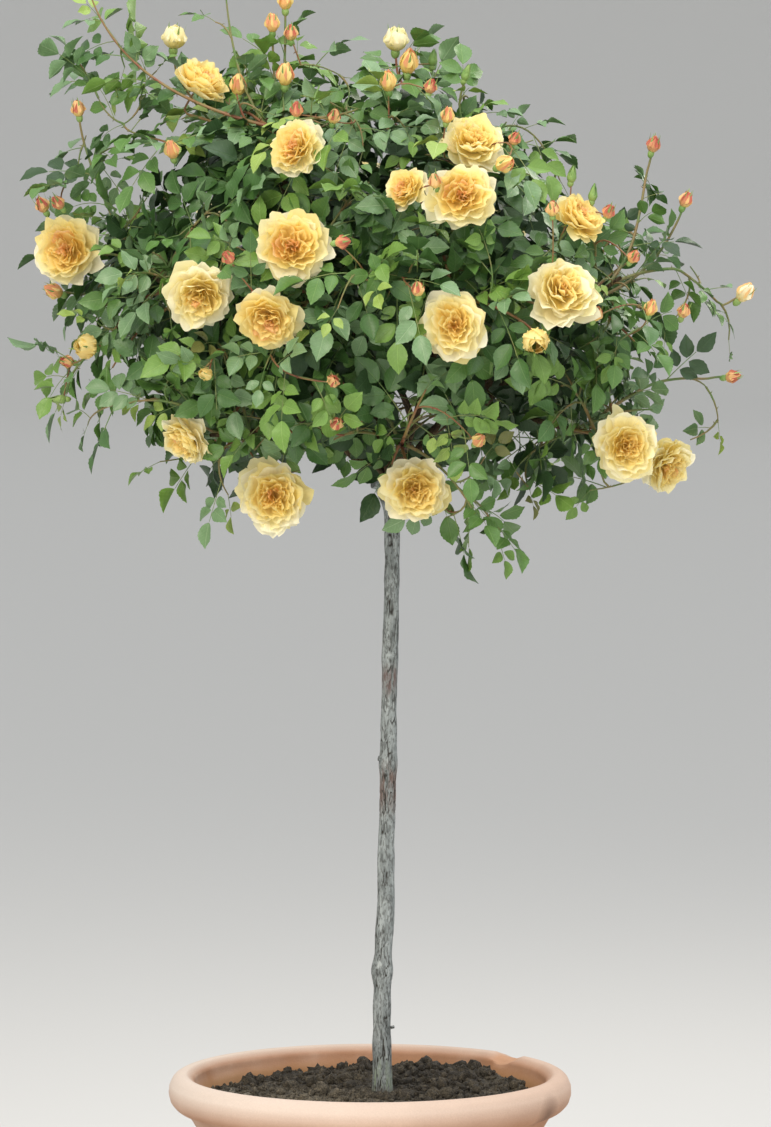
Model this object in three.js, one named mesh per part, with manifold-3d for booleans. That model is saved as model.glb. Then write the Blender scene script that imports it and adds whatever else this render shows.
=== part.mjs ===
// A full standard rose bush in a terracotta pot.
// Millimetres, +Z up. The origin is under the middle of the pot.
// X runs to the right and Y away from the front.

import * as THREE from 'three';
import { mergeVertices } from 'three/addons/utils/BufferGeometryUtils.js';
import Module from 'manifold-3d';

const wasm = await Module();
wasm.setup();

const GAP = 0.3; // clear space between two pieces that touch on the plant

// Pot: a straight tapered wall that flares into a thick rolled rim.
const POT = {
  height: 515,
  baseRadius: 146,
  tapersTo: { radius: 243, height: 372 },
  flare: { radius: 262.5, height: 413.5 },
  neck: { radius: 288, height: 455 },
  rim: { middle: 295.5, height: 487, halfWide: 21, halfTall: 28, from: -70, to: 170, steps: 6 },
  wall: 23,
  floor: 30,
  drainHole: { radius: 10, ring: 82, count: 3 },
  chip: { turn: 41, ring: 288, above: 4.2, size: [60, 84, 22.4], tilt: -12 },
  sides: 24,
};

// Soil: fills the pot, a little heaped, with clods on top and a level seat for the trunk's foot.
// rings: where its top is divided, as shares of the radius at its edge.
const SOIL = {
  edge: { radius: 263.5, height: 466 },
  top: 477,
  rings: [0.78, 0.54, 0.3, 0],
  clod: 8,
  bank: { rise: 12, turn: 53 },
  seat: { height: 479.7, radius: 100 },
};

// Trunk: centre line from the soil to the graft union, from the foot up.
const TRUNK = {
  line: [
    [18.8, 0, 480], [18.8, -2, 666], [24.2, 1, 772], [25, 4, 852], [27.7, 2, 960],
    [29.2, -3, 1078], [32.7, -1, 1228], [33.9, 2, 1299], [34.4, 1, 1381], [31.3, 0, 1452],
  ],
  radius: { foot: 13.8, top: 12.2 },
  flare: { extra: 4.2, fadesOver: 45 },
  knots: [
    { height: 676, swell: 3.2, long: 17 },
    { height: 762, swell: 1.6, long: 22 },
    { height: 1003, swell: 2.4, long: 15 },
    { height: 1170, swell: 1.2, long: 18 },
    { height: 1436, swell: 10.5, long: 24 },
  ],
  sides: 8,
  steps: 27,
  levelBelow: 4,
};
const UNION = new THREE.Vector3(31.6, 0, 1436); // middle of the graft union, where the boughs start

// Boughs: radius at the start and at the tip, for those from the union and those from another bough.
// lead and aim: how far it first runs on from its start and towards its tip, as shares of its span.
const BOUGH = {
  main: [7.6, 4.8],
  side: [5.8, 4.4],
  rises: [34, 62],
  lead: 0.28,
  aim: 0.2,
  sides: 5,
  steps: 4,
};

// Masses of foliage, placed round the crown's middle: compass turn, distance out, height, reach.
// from: the bough that carries it, and how far along that bough its own bough leaves.
const CROWN_CENTRE = new THREE.Vector3(31, 0, 1735);
const MASSES = [
  { name: 'mid_front', turn: -72, out: 305, up: 1750, reach: 160 },
  { name: 'mid_right_front', turn: -28, out: 365, up: 1765, reach: 170 },
  { name: 'mid_right_back', turn: 22, out: 365, up: 1750, reach: 175 },
  { name: 'mid_back_left', turn: 112, out: 320, up: 1765, reach: 175 },
  { name: 'mid_left_back', turn: 160, out: 370, up: 1785, reach: 175 },
  { name: 'mid_left_front', turn: -155, out: 365, up: 1765, reach: 170 },
  { name: 'heart', turn: -100, out: 25, up: 1795, reach: 155 },
  { name: 'mid_front_left', turn: -113, out: 305, up: 1770, reach: 165, from: ['mid_front', 0.42] },
  { name: 'mid_back_right', turn: 67, out: 325, up: 1760, reach: 175, from: ['mid_back_left', 0.3] },
  { name: 'low_front', turn: -86, out: 245, up: 1535, reach: 150, from: ['mid_front', 0.22] },
  { name: 'low_right_front', turn: -27, out: 375, up: 1545, reach: 165, from: ['mid_right_front', 0.3] },
  { name: 'low_right_back', turn: 36, out: 350, up: 1555, reach: 165, from: ['mid_right_back', 0.3] },
  { name: 'low_back', turn: 97, out: 290, up: 1545, reach: 165, from: ['mid_back_left', 0.5] },
  { name: 'low_left_back', turn: 150, out: 340, up: 1565, reach: 165, from: ['mid_left_back', 0.3] },
  { name: 'low_left_front', turn: -143, out: 315, up: 1545, reach: 165, from: ['mid_left_front', 0.3] },
  { name: 'top_right_front', turn: -48, out: 185, up: 1955, reach: 160, from: ['mid_right_front', 0.55] },
  { name: 'top_right_back', turn: 48, out: 195, up: 1950, reach: 165, from: ['mid_right_back', 0.5] },
  { name: 'top_left_back', turn: 138, out: 225, up: 1985, reach: 165, from: ['mid_left_back', 0.5] },
  { name: 'top_left_front', turn: -140, out: 225, up: 1985, reach: 165, from: ['mid_left_front', 0.55] },
];

// Growth inside a mass. Every length is in millimetres and every angle in degrees.
const GROWTH = {
  foot: 0.55, // the bough's tip lies this share of the reach short of the mass's middle
  stem: [4.4, 4.2],
  stemPast: 0.2, // the stem runs this share of the reach past the middle
  stemStraight: 5,
  stemBend: 0.45,
  shoots: 8, // less one for each named bloom or bud
  fewestShoots: 4,
  shootRadius: [2.9, 2.3],
  tipReach: [0.84, 1.06],
  arch: 0.16,
  archAt: 0.55,
  bloomArch: 0.12,
  straightUnder: 150,
  shorten: [1, 0.82, 0.64, 0.48],
  leafEvery: 56,
  leafTurn: 137.5,
  leafPitch: 58,
  lastLeaf: { along: 0.97, pitch: 14 },
  leavesEnd: 0.9,
  leafLight: 0.9, // how far a blade turns outward as it turns up to the light
  leafSizes: [0.84, 1.16],
  leafTries: [[1, 0], [0.9, 90], [0.9, -90], [0.8, 180], [0.75, 0], [0.6, 60], [0.6, -60]],
  shootsFrom: 0.2,
  placeTries: [0, 0.38, 0.76, 0.14, 0.52, 0.9],
  placeTurn: 0.618,
  fitSteps: 8,
  leaf: { long: 118, wide: 0.7, widest: 0.46, fold: 0.042, sunk: 0.4 },
  bare: 25, // the start of a shoot, without leaves
  clear: 0.7, // half of the clear space between two masses
  bloomRoom: 2,
};
// The draws of the seeded rule: each takes its own numbers.
const DRAW = { twist: 1, reach: 2, kind: 3, across: 4, clod: 5, turn: 6, leafPlace: 20, leafSize: 40 };

// Bloom: a full cupped rosette, as shares of its radius, from the calyx round to the heart.
const BLOOM = {
  outline: [[0, -0.72], [0.8, -0.32], [1, 0.06], [0.62, 0.36], [0, 0.28]],
  middle: -0.15,
  stalkEnd: -0.5,
  sides: 8,
  scallop: 0.06,
};
// Bud: a pointed spindle on its calyx, as shares of its length.
const BUD = {
  outline: [[0, -0.5], [0.27, -0.28], [0.25, 0.12], [0, 0.6]],
  sides: 4,
};

// Blooms and buds with a place of their own: kind, x, y, z, the compass turn and the rise of the
// way they face, and how far across. A tip is the end of a shoot that carries leaves only.
const HEADS = [
  ['bloom', -470, -80, 1808, -112, 4, 116],
  ['bloom', -256, -335, 1741, -100, -22, 118],
  ['bloom', -115, -385, 1818, -88, 8, 124],
  ['bloom', -150, -385, 1706, -92, -28, 104],
  ['bloom', -260, -80, 2068, -30, 52, 96],
  ['bloom', -112, -315, 1966, -118, 22, 96],
  ['bloom', 158, -268, 1974, -70, 40, 108],
  ['bloom', 138, -372, 1893, -86, 10, 112],
  ['bloom', 52, -345, 1905, -130, 30, 72],
  ['bloom', 318, -300, 1862, -40, 42, 90],
  ['bloom', 290, -362, 1752, -70, 24, 124],
  ['bloom', 126, -405, 1700, -96, 2, 112],
  ['bloom', -148, -205, 1434, -94, -4, 118],
  ['bloom', 70, -262, 1446, -84, -6, 110],
  ['bloom', 397, -125, 1506, -62, -8, 104],
  ['bloom', 466, -20, 1470, -38, -34, 84],
  ['bloom', -282, -213, 1520, -140, -30, 92],
  ['bud', 248, -396, 1678, -88, -20, 42],
  ['bud', -434, -125, 1660, -130, 10, 40],
  ['bud', -305, 10, 2134, -60, 78, 40],
  ['bud', -151, -60, 2154, -100, 80, 30],
  ['bud', -203, -86, 2058, -100, 76, 34],
  ['bud', -451, -60, 2024, -120, 74, 30],
  ['bud', 40, -60, 2129, -80, 76, 40],
  ['bud', 147, -144, 2077, -40, 66, 26],
  ['bud', 438, -60, 1969, -30, 72, 30],
  ['bud', 488, -60, 1884, -20, 66, 30],
  ['bud', 578, -60, 1739, -20, 48, 34],
  ['bud', 560, -60, 1612, -10, 10, 28],
  ['bud', -490, 0, 1742, -150, 20, 32],
  ['bud', -510, 0, 1876, -150, 60, 30],
  ['bud', -131, -40, 2190, -90, 84, 32],
  ['tip', -429, -60, 2194, -100, 82, 20],
  ['tip', -222, -60, 2196, -90, 86, 20],
  ['tip', 160, -250, 1410, -60, -50, 20],
];
// Masses behind this Y have their blooms dealt out by the seeded rule.
const SEEDED = { behind: -40, open: 0.35, bloomShare: 0.34, across: [90, 116], lift: 0.25 };

const FINISH = {
  terracotta: { color: 0xd9a47e, roughness: 0.85, metalness: 0 },
  compost: { color: 0x3a2a20, roughness: 1, metalness: 0 },
  bark: { color: 0x8d8a80, roughness: 0.9, metalness: 0 },
  cane: { color: 0x4f4030, roughness: 0.8, metalness: 0 },
  foliage: { color: 0x4a7338, roughness: 0.6, metalness: 0 },
};

const UP = new THREE.Vector3(0, 0, 1);

function vector(values) {
  return new THREE.Vector3(values[0], values[1], values[2]);
}

function heading(turn, rise) {
  const flat = Math.cos(THREE.MathUtils.degToRad(rise));
  const around = THREE.MathUtils.degToRad(turn);
  return new THREE.Vector3(
    Math.cos(around) * flat,
    Math.sin(around) * flat,
    Math.sin(THREE.MathUtils.degToRad(rise)),
  );
}

function towards(from, to) {
  return to.clone().sub(from).normalize();
}

// The same number from 0 to 1 each time for the same three whole numbers.
function chance(mass, shoot, draw) {
  const raw = Math.sin(mass * 12.9898 + shoot * 78.233 + draw * 37.719) * 43758.5453;
  return raw - Math.floor(raw);
}

function between(range, share) {
  return range[0] + (range[1] - range[0]) * share;
}

// Solids: a closed geometry becomes a solid that can be joined and cut, and the reverse.
function solidOf(geometry) {
  const bare = geometry.clone();
  bare.deleteAttribute('normal');
  bare.deleteAttribute('uv');
  const merged = mergeVertices(bare, 1e-4);
  const corners = [];
  for (let i = 0; i < merged.index.count; i += 3) {
    const [a, b, c] = merged.index.array.slice(i, i + 3);
    if (a !== b && b !== c && c !== a) {
      corners.push(a, b, c);
    }
  }
  return new wasm.Manifold(new wasm.Mesh({
    numProp: 3,
    vertProperties: Float32Array.from(merged.attributes.position.array),
    triVerts: Uint32Array.from(corners),
  }));
}

function geometryOf(solid) {
  const mesh = solid.getMesh();
  const geometry = new THREE.BufferGeometry();
  geometry.setAttribute('position', new THREE.BufferAttribute(mesh.vertProperties, 3));
  geometry.setIndex(new THREE.BufferAttribute(mesh.triVerts, 1));
  return geometry;
}

// Cutting and joining can leave a loose scrap: only the largest body is kept.
function largestBody(solid) {
  return solid.decompose().reduce((best, body) => (body.volume() > best.volume() ? body : best));
}

// A round body: an outline of radius and height pairs turned about the upright axis.
function latheGeometry(outline, sides) {
  const points = outline.map(([r, z]) => new THREE.Vector2(r, z));
  return new THREE.LatheGeometry(points, sides).rotateX(Math.PI / 2);
}

// A limb: a closed cylinder bent along a row of points, with its radius at each of them.
function limbGeometry(points, radii, sides) {
  const steps = points.length - 1;
  const geometry = new THREE.CylinderGeometry(1, 1, 1, sides, steps);
  let across = new THREE.Vector3(0.6, 0.8, 0);
  const frames = points.map((point, i) => {
    const way = towards(points[Math.max(i - 1, 0)], points[Math.min(i + 1, steps)]);
    across = across.clone().addScaledVector(way, -across.dot(way)).normalize();
    return { across, over: new THREE.Vector3().crossVectors(way, across) };
  });
  const places = geometry.attributes.position;
  for (let i = 0; i < places.count; i += 1) {
    const step = Math.round((places.getY(i) + 0.5) * steps);
    const point = points[step].clone()
      .addScaledVector(frames[step].across, places.getX(i) * radii[step])
      .addScaledVector(frames[step].over, -places.getZ(i) * radii[step]);
    places.setXYZ(i, point.x, point.y, point.z);
  }
  return geometry;
}

function tapered(range, count) {
  return Array.from({ length: count }, (_, i) => between(range, i / (count - 1)));
}

// The place at a share of the way along a row of points, and which way the row runs there.
function walk(points, share) {
  const stretches = points.slice(1).map((point, i) => point.distanceTo(points[i]));
  let left = share * stretches.reduce((sum, stretch) => sum + stretch, 0);
  let i = 0;
  while (i < stretches.length - 1 && left > stretches[i]) {
    left -= stretches[i];
    i += 1;
  }
  const way = towards(points[i], points[i + 1]);
  return { place: points[i].clone().addScaledVector(way, left), way };
}

function lengthOf(points) {
  return points.slice(1).reduce((sum, point, i) => sum + point.distanceTo(points[i]), 0);
}

// Pot

// The inside of the pot from the soil's edge down to the floor, drawn in by a clearance.
function innerOutline(clearance) {
  const { baseRadius, tapersTo, wall, floor } = POT;
  const slope = (tapersTo.radius - baseRadius) / tapersTo.height;
  return [
    [SOIL.edge.radius - clearance * 2, SOIL.edge.height - clearance],
    [tapersTo.radius - wall - clearance * 2, tapersTo.height],
    [baseRadius + slope * floor - wall - clearance * 2, floor + clearance],
    [0, floor + clearance],
  ];
}

function makePot() {
  const { baseRadius, tapersTo, flare, neck, rim, floor, drainHole, chip } = POT;
  const roll = Array.from({ length: rim.steps + 1 }, (_, step) => {
    const turn = THREE.MathUtils.degToRad(between([rim.from, rim.to], step / rim.steps));
    return [rim.middle + rim.halfWide * Math.cos(turn), rim.height + rim.halfTall * Math.sin(turn)];
  });
  const outside = [tapersTo, flare, neck].map(({ radius, height }) => [radius, height]);
  const outline = [[0, 0], [baseRadius, 0], ...outside, ...roll, ...innerOutline(0)];
  let pot = solidOf(latheGeometry(outline, POT.sides));
  for (let i = 0; i < drainHole.count; i += 1) {
    const hole = new THREE.CylinderGeometry(drainHole.radius, drainHole.radius, floor * 3, 12);
    hole.rotateX(Math.PI / 2);
    hole.translate(drainHole.ring, 0, 0);
    hole.rotateZ((i * 2 * Math.PI) / drainHole.count);
    pot = pot.subtract(solidOf(hole));
  }
  const broken = new THREE.SphereGeometry(1, 7, 4);
  broken.scale(...chip.size.map((across) => across / 2));
  broken.rotateY(THREE.MathUtils.degToRad(chip.tilt));
  broken.translate(chip.ring, 0, POT.height + chip.above);
  broken.rotateZ(THREE.MathUtils.degToRad(chip.turn));
  return geometryOf(largestBody(pot.subtract(solidOf(broken))));
}

// Soil

function makeSoil() {
  const { edge, top, rings, clod, bank, seat } = SOIL;
  const outline = [...innerOutline(GAP).reverse(), ...rings.map((share) => [edge.radius * share, top])];
  const geometry = latheGeometry(outline, POT.sides);
  const places = geometry.attributes.position;
  const foot = vector(TRUNK.line[0]);
  const bankWay = heading(bank.turn, 0);
  for (let i = 0; i < places.count; i += 1) {
    const point = new THREE.Vector3().fromBufferAttribute(places, i);
    const out = Math.hypot(point.x, point.y);
    if (point.z > top - 1) {
      const around = out > 1 ? Math.round(Math.atan2(point.y, point.x) * POT.sides) : 0;
      const banked = bank.rise * Math.max(0, point.dot(bankWay) / edge.radius);
      const lump = clod * (chance(Math.round(out), around, DRAW.clod) - 0.5);
      const seated = Math.hypot(point.x - foot.x, point.y - foot.y) < seat.radius;
      places.setZ(i, seated ? seat.height : top + banked + lump);
    }
  }
  return geometryOf(solidOf(geometry));
}

// Trunk

const trunkPoints = new THREE.CatmullRomCurve3(TRUNK.line.map(vector), false, 'centripetal')
  .getSpacedPoints(TRUNK.steps);

function trunkRadius(height) {
  const { line, radius, flare, knots } = TRUNK;
  const low = line[0][2];
  const share = (height - low) / (line[line.length - 1][2] - low);
  const swells = knots.map((knot) => knot.swell * Math.exp(-(((height - knot.height) / knot.long) ** 2)));
  return radius.foot + (radius.top - radius.foot) * share
    + flare.extra * Math.exp(-(height - low) / flare.fadesOver)
    + swells.reduce((sum, swell) => sum + swell, 0);
}

// The first ring is laid level, so that the foot is a flat cut on the soil.
function trunkGeometry(grown) {
  const radii = trunkPoints.map((point) => trunkRadius(point.z) + grown);
  const geometry = limbGeometry(trunkPoints, radii, TRUNK.sides);
  const places = geometry.attributes.position;
  const low = TRUNK.line[0][2];
  for (let i = 0; i < places.count; i += 1) {
    if (places.getZ(i) < low + TRUNK.levelBelow) {
      places.setZ(i, low);
    }
  }
  return geometry;
}

// Crown: where each mass lies, and the space that it keeps to

const masses = MASSES.map((row, number) => ({
  ...row,
  number,
  centre: heading(row.turn, 0).multiplyScalar(row.out).add(CROWN_CENTRE).setZ(row.up),
}));

// How far a point lies inside a mass's space. Each border is the flat face between two masses' reaches.
function insideBy(mass, point) {
  let least = Infinity;
  for (const other of masses) {
    if (other !== mass) {
      const own = point.distanceToSquared(mass.centre) - mass.reach ** 2;
      const theirs = point.distanceToSquared(other.centre) - other.reach ** 2;
      least = Math.min(least, (theirs - own) / (2 * mass.centre.distanceTo(other.centre)));
    }
  }
  return least;
}

function massAt(point) {
  return masses.find((mass) => insideBy(mass, point) >= 0);
}

// Boughs

const boughs = new Map();
for (const mass of masses) {
  const [carrier, along] = mass.from ?? [null, 0];
  const parent = boughs.get(carrier);
  const size = parent ? BOUGH.side : BOUGH.main;
  const start = parent ? walk(parent.points, along).place : UNION;
  const foot = mass.centre.clone().addScaledVector(towards(start, mass.centre), -GROWTH.foot * mass.reach);
  const span = foot.distanceTo(start);
  const lead = parent ? walk(parent.points, along).way : heading(mass.turn, BOUGH.rises[mass.number % 2]);
  const bend = start.clone()
    .addScaledVector(lead, span * BOUGH.lead)
    .addScaledVector(towards(start, foot), span * BOUGH.aim);
  const points = new THREE.QuadraticBezierCurve3(start, bend, foot).getSpacedPoints(BOUGH.steps);
  boughs.set(mass.name, { mass, parent, points, radii: tapered(size, points.length) });
}

function boughSolid(bough, grown) {
  return solidOf(limbGeometry(bough.points, bough.radii.map((radius) => radius + grown), BOUGH.sides));
}

function makeBough(bough) {
  let solid = boughSolid(bough, 0).subtract(solidOf(trunkGeometry(GAP)));
  for (const other of boughs.values()) {
    if (other === bough) {
      break;
    }
    if (other === bough.parent || other.parent === bough.parent) {
      solid = solid.subtract(boughSolid(other, GAP));
    }
  }
  return geometryOf(largestBody(solid));
}

// What growth keeps clear of: boughs and trunk as round-ended rods, and blooms as balls.

const rods = [];
function addRods(points, radii) {
  for (let i = 1; i < points.length; i += 1) {
    rods.push({ a: points[i - 1], b: points[i], radius: radii[i - 1] });
  }
}
for (const bough of boughs.values()) {
  addRods(bough.points, bough.radii);
}
addRods(trunkPoints, trunkPoints.map((point) => trunkRadius(point.z)));

// Least distance between the stretches a-b and c-d.
function stretchGap(a, b, c, d) {
  const [u, v, w] = [b.clone().sub(a), d.clone().sub(c), a.clone().sub(c)];
  const [uu, uv, vv, uw, vw] = [u.dot(u), u.dot(v), v.dot(v), u.dot(w), v.dot(w)];
  const spread = uu * vv - uv * uv;
  let s = spread > 1e-9 ? THREE.MathUtils.clamp((uv * vw - vv * uw) / spread, 0, 1) : 0;
  const t = THREE.MathUtils.clamp((uv * s + vw) / vv, 0, 1);
  s = THREE.MathUtils.clamp((uv * t - uw) / uu, 0, 1);
  return w.addScaledVector(u, s).addScaledVector(v, -t).length();
}

function meetsRods(a, b, radius) {
  return rods.some((rod) => stretchGap(a, b, rod.a, rod.b) < radius + rod.radius + GAP * 2);
}

function meetsBlooms(points, room, own) {
  return blooms.some((head) => head !== own
    && points.some((point) => point.distanceTo(head.middle) < head.radius + room));
}

// Heads: what the shoots end in

function makeHead(kind, at, faces, across, mass) {
  const radius = across / 2;
  const middle = at.clone().addScaledVector(faces, kind === 'bloom' ? radius * BLOOM.middle : 0);
  return { kind, at, faces, across, radius, middle, mass };
}

const placedHeads = HEADS.map(([kind, x, y, z, turn, rise, across]) => {
  const at = new THREE.Vector3(x, y, z);
  return makeHead(kind, at, heading(turn, rise), across, massAt(at));
});
const blooms = placedHeads.filter((head) => head.kind === 'bloom');

// Directions spread evenly over a ball, one for each shoot.
function spread(i, count, twist) {
  const height = 1 - (2 * i + 1) / count;
  const around = THREE.MathUtils.degToRad(i * GROWTH.leafTurn + twist);
  const flat = Math.sqrt(1 - height * height);
  return new THREE.Vector3(Math.cos(around) * flat, Math.sin(around) * flat, height);
}

function shootCount(mass) {
  const taken = placedHeads.filter((head) => head.mass === mass).length;
  return Math.max(GROWTH.fewestShoots, GROWTH.shoots - taken);
}

function shootTip(mass, i) {
  const way = spread(i, shootCount(mass), 360 * chance(mass.number, 0, DRAW.twist));
  const far = mass.reach * between(GROWTH.tipReach, chance(mass.number, i, DRAW.reach));
  return mass.centre.clone().addScaledVector(way, far);
}

// The other shoots end in leaves, and some of those behind in a bloom, by a seeded rule.
const seededTips = [];
for (const mass of masses) {
  for (let i = 0; i < shootCount(mass); i += 1) {
    const at = shootTip(mass, i);
    const outward = towards(CROWN_CENTRE, at);
    const open = outward.dot(towards(mass.centre, at)) > SEEDED.open;
    const drawn = chance(mass.number, i, DRAW.kind) < SEEDED.bloomShare;
    const flowers = mass.centre.y > SEEDED.behind && open && drawn;
    const across = between(SEEDED.across, chance(mass.number, i, DRAW.across));
    const faces = outward.addScaledVector(UP, SEEDED.lift).normalize();
    const head = makeHead(flowers ? 'bloom' : 'tip', at, faces, across, mass);
    if (flowers && (insideBy(mass, at) < head.radius || meetsBlooms([at], head.radius))) {
      head.kind = 'tip';
    }
    seededTips.push(head);
    if (head.kind === 'bloom') {
      blooms.push(head);
    }
  }
}

function placed(geometry, at, faces) {
  geometry.applyQuaternion(new THREE.Quaternion().setFromUnitVectors(UP, faces));
  geometry.translate(at.x, at.y, at.z);
  return solidOf(geometry);
}

function bloomSolid(head) {
  const outline = BLOOM.outline.map(([r, z]) => [r * head.radius, z * head.radius]);
  const geometry = latheGeometry(outline, BLOOM.sides);
  const places = geometry.attributes.position;
  for (let i = 0; i < places.count; i += 1) {
    const around = Math.atan2(places.getY(i), places.getX(i));
    const wave = 1 - BLOOM.scallop + BLOOM.scallop * Math.cos(around * (BLOOM.sides / 2));
    places.setX(i, places.getX(i) * wave);
    places.setY(i, places.getY(i) * wave);
  }
  return placed(geometry, head.at, head.faces);
}

function budSolid(head) {
  const outline = BUD.outline.map(([r, z]) => [r * head.across, z * head.across]);
  return placed(latheGeometry(outline, BUD.sides), head.at, head.faces);
}

// Leaves: four faces each, a kite folded along its midrib and closed underneath, turned to the light.

function leafCorners(root, axis, shine, long) {
  const { wide, widest, fold } = GROWTH.leaf;
  const side = new THREE.Vector3().crossVectors(shine, axis).normalize();
  const face = new THREE.Vector3().crossVectors(axis, side);
  const corner = (along, across, lift) => root.clone()
    .addScaledVector(axis, along * long)
    .addScaledVector(side, across * long)
    .addScaledVector(face, lift * long);
  const [left, right] = [wide / 2, -wide / 2].map((across) => corner(widest, across, fold));
  return { root, tip: corner(1, 0, 0), left, right };
}

function leafSolid(corners) {
  const geometry = new THREE.TetrahedronGeometry(1);
  const places = geometry.attributes.position;
  for (let i = 0; i < places.count; i += 1) {
    const near = places.getY(i) > 0 ? corners.root : corners.right;
    const far = places.getY(i) > 0 ? corners.left : corners.tip;
    const point = places.getX(i) > 0 ? near : far;
    places.setXYZ(i, point.x, point.y, point.z);
  }
  return solidOf(geometry);
}

function leafFits(mass, corners) {
  const middle = corners.left.clone().lerp(corners.right, 0.5);
  const halfWide = corners.left.distanceTo(corners.right) / 2;
  return Object.values(corners).every((point) => insideBy(mass, point) > GROWTH.clear)
    && !meetsRods(corners.root, corners.tip, halfWide)
    && !meetsBlooms([corners.tip, corners.left, corners.right, middle], GROWTH.bloomRoom);
}

// Shoots

// A shoot is one straight stretch, or two that arch over where it is long.
function shootPath(start, head) {
  const back = head.kind === 'bloom' ? head.radius * BLOOM.stalkEnd : 0;
  const end = head.at.clone().addScaledVector(head.faces, back);
  const span = end.distanceTo(start);
  if (span < GROWTH.straightUnder) {
    return [start, end];
  }
  const bend = start.clone().lerp(end, GROWTH.archAt).addScaledVector(UP, span * GROWTH.arch);
  if (head.kind === 'bloom') {
    bend.addScaledVector(head.faces, -span * GROWTH.bloomArch);
  }
  return [start, bend, end];
}

function shootFits(mass, path, head) {
  const radius = GROWTH.shootRadius[0];
  for (let i = 1; i < path.length; i += 1) {
    if (meetsRods(path[i - 1], path[i], radius)) {
      return false;
    }
  }
  for (let i = 1; i <= GROWTH.fitSteps; i += 1) {
    const point = walk(path, i / GROWTH.fitSteps).place;
    const held = head.kind === 'bloom' && point.distanceTo(head.middle) < head.radius;
    const inside = insideBy(mass, point) > radius + GROWTH.clear || held;
    if (!inside || meetsBlooms([point], radius + GROWTH.clear, head)) {
      return false;
    }
  }
  return true;
}

// A leaf that doesn't fit, or would cross another, is tried turned and smaller, and is otherwise skipped.
function growLeaf(leaves, mass, root, way, out, size, pitch) {
  const shine = UP.clone().addScaledVector(towards(CROWN_CENTRE, root), GROWTH.leafLight);
  for (const [shrink, turn] of GROWTH.leafTries) {
    const turned = out.clone().applyAxisAngle(way, THREE.MathUtils.degToRad(turn));
    const leaning = way.clone().multiplyScalar(Math.cos(pitch)).addScaledVector(turned, Math.sin(pitch));
    const axis = leaning.normalize();
    const sunk = root.clone().addScaledVector(axis, -GROWTH.leaf.sunk);
    const corners = leafCorners(sunk, axis, shine, size * shrink);
    const leaf = leafFits(mass, corners) ? leafSolid(corners) : null;
    if (leaf && leaves.every((other) => leaf.intersect(other).isEmpty())) {
      leaves.push(leaf);
      return;
    }
  }
}

function addShoot(pieces, leaves, mass, path, number, head) {
  const { bare, leafEvery, lastLeaf, leavesEnd, leafTurn, leafSizes, leafPitch } = GROWTH;
  pieces.push(solidOf(limbGeometry(path, tapered(GROWTH.shootRadius, path.length), 3)));
  const count = Math.max(1, Math.round((lengthOf(path) - bare) / leafEvery));
  for (let i = 0; i < count; i += 1) {
    const last = head.kind === 'tip' && i === count - 1;
    const share = (i + 0.6 + 0.3 * chance(mass.number, number, DRAW.leafPlace + i)) / count;
    const { place, way } = walk(path, last ? lastLeaf.along : share * leavesEnd);
    const turn = THREE.MathUtils.degToRad(i * leafTurn + 360 * chance(mass.number, number, DRAW.turn));
    const aside = new THREE.Vector3().crossVectors(way, UP).normalize().applyAxisAngle(way, turn);
    const size = GROWTH.leaf.long * between(leafSizes, chance(mass.number, number, DRAW.leafSize + i));
    const pitch = THREE.MathUtils.degToRad(last ? lastLeaf.pitch : leafPitch);
    growLeaf(leaves, mass, place, way, aside, size, pitch);
  }
}

// A shoot leaves the stem at its own place, or at another where that is barred. It may end short
// of its tip, and then it carries leaves only.
function growShoot(pieces, leaves, mass, stem, head, number, place, lengths) {
  for (const length of lengths) {
    for (const shift of GROWTH.placeTries) {
      const share = GROWTH.shootsFrom + (1 - GROWTH.shootsFrom) * ((place + shift) % 1);
      const start = walk(stem, share).place;
      const at = start.clone().lerp(head.at, length);
      const shorter = length < 1 ? { ...head, at, kind: 'tip' } : head;
      const path = shootPath(start, shorter);
      if (shootFits(mass, path, shorter)) {
        addShoot(pieces, leaves, mass, path, number, shorter);
        return shorter.kind;
      }
    }
  }
  return null;
}

// The stem meets the tip of the mass's bough, a gap clear of it, and runs a little past the mass's middle.
function stemPoints(mass) {
  const { place, way } = walk(boughs.get(mass.name).points, 1);
  const start = place.addScaledVector(way, GAP);
  const straight = start.clone().addScaledVector(way, GROWTH.stemStraight);
  const outward = towards(CROWN_CENTRE, mass.centre);
  const end = mass.centre.clone().addScaledVector(outward, mass.reach * GROWTH.stemPast);
  const bend = straight.clone().addScaledVector(way, start.distanceTo(end) * GROWTH.stemBend);
  return [start, ...new THREE.QuadraticBezierCurve3(straight, bend, end).getSpacedPoints(3)];
}

function makeMass(mass) {
  const stem = stemPoints(mass);
  const pieces = [solidOf(limbGeometry(stem, tapered(GROWTH.stem, stem.length), 5))];
  const leaves = [];
  const ends = [...placedHeads, ...seededTips].filter((head) => head.mass === mass);
  ends.forEach((head, i) => {
    const lengths = placedHeads.includes(head) ? [1] : GROWTH.shorten;
    const grown = growShoot(pieces, leaves, mass, stem, head, i, (i * GROWTH.placeTurn) % 1, lengths);
    if (grown === 'bloom') {
      pieces.push(bloomSolid(head));
    } else if (grown === 'bud') {
      pieces.push(budSolid(head));
    }
  });
  return geometryOf(largestBody(wasm.Manifold.union([...pieces, ...leaves])));
}

// The whole plant

const group = new THREE.Group();

function add(name, geometry, finish) {
  const mesh = new THREE.Mesh(geometry, new THREE.MeshStandardMaterial(FINISH[finish]));
  mesh.name = name;
  group.add(mesh);
}

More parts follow.
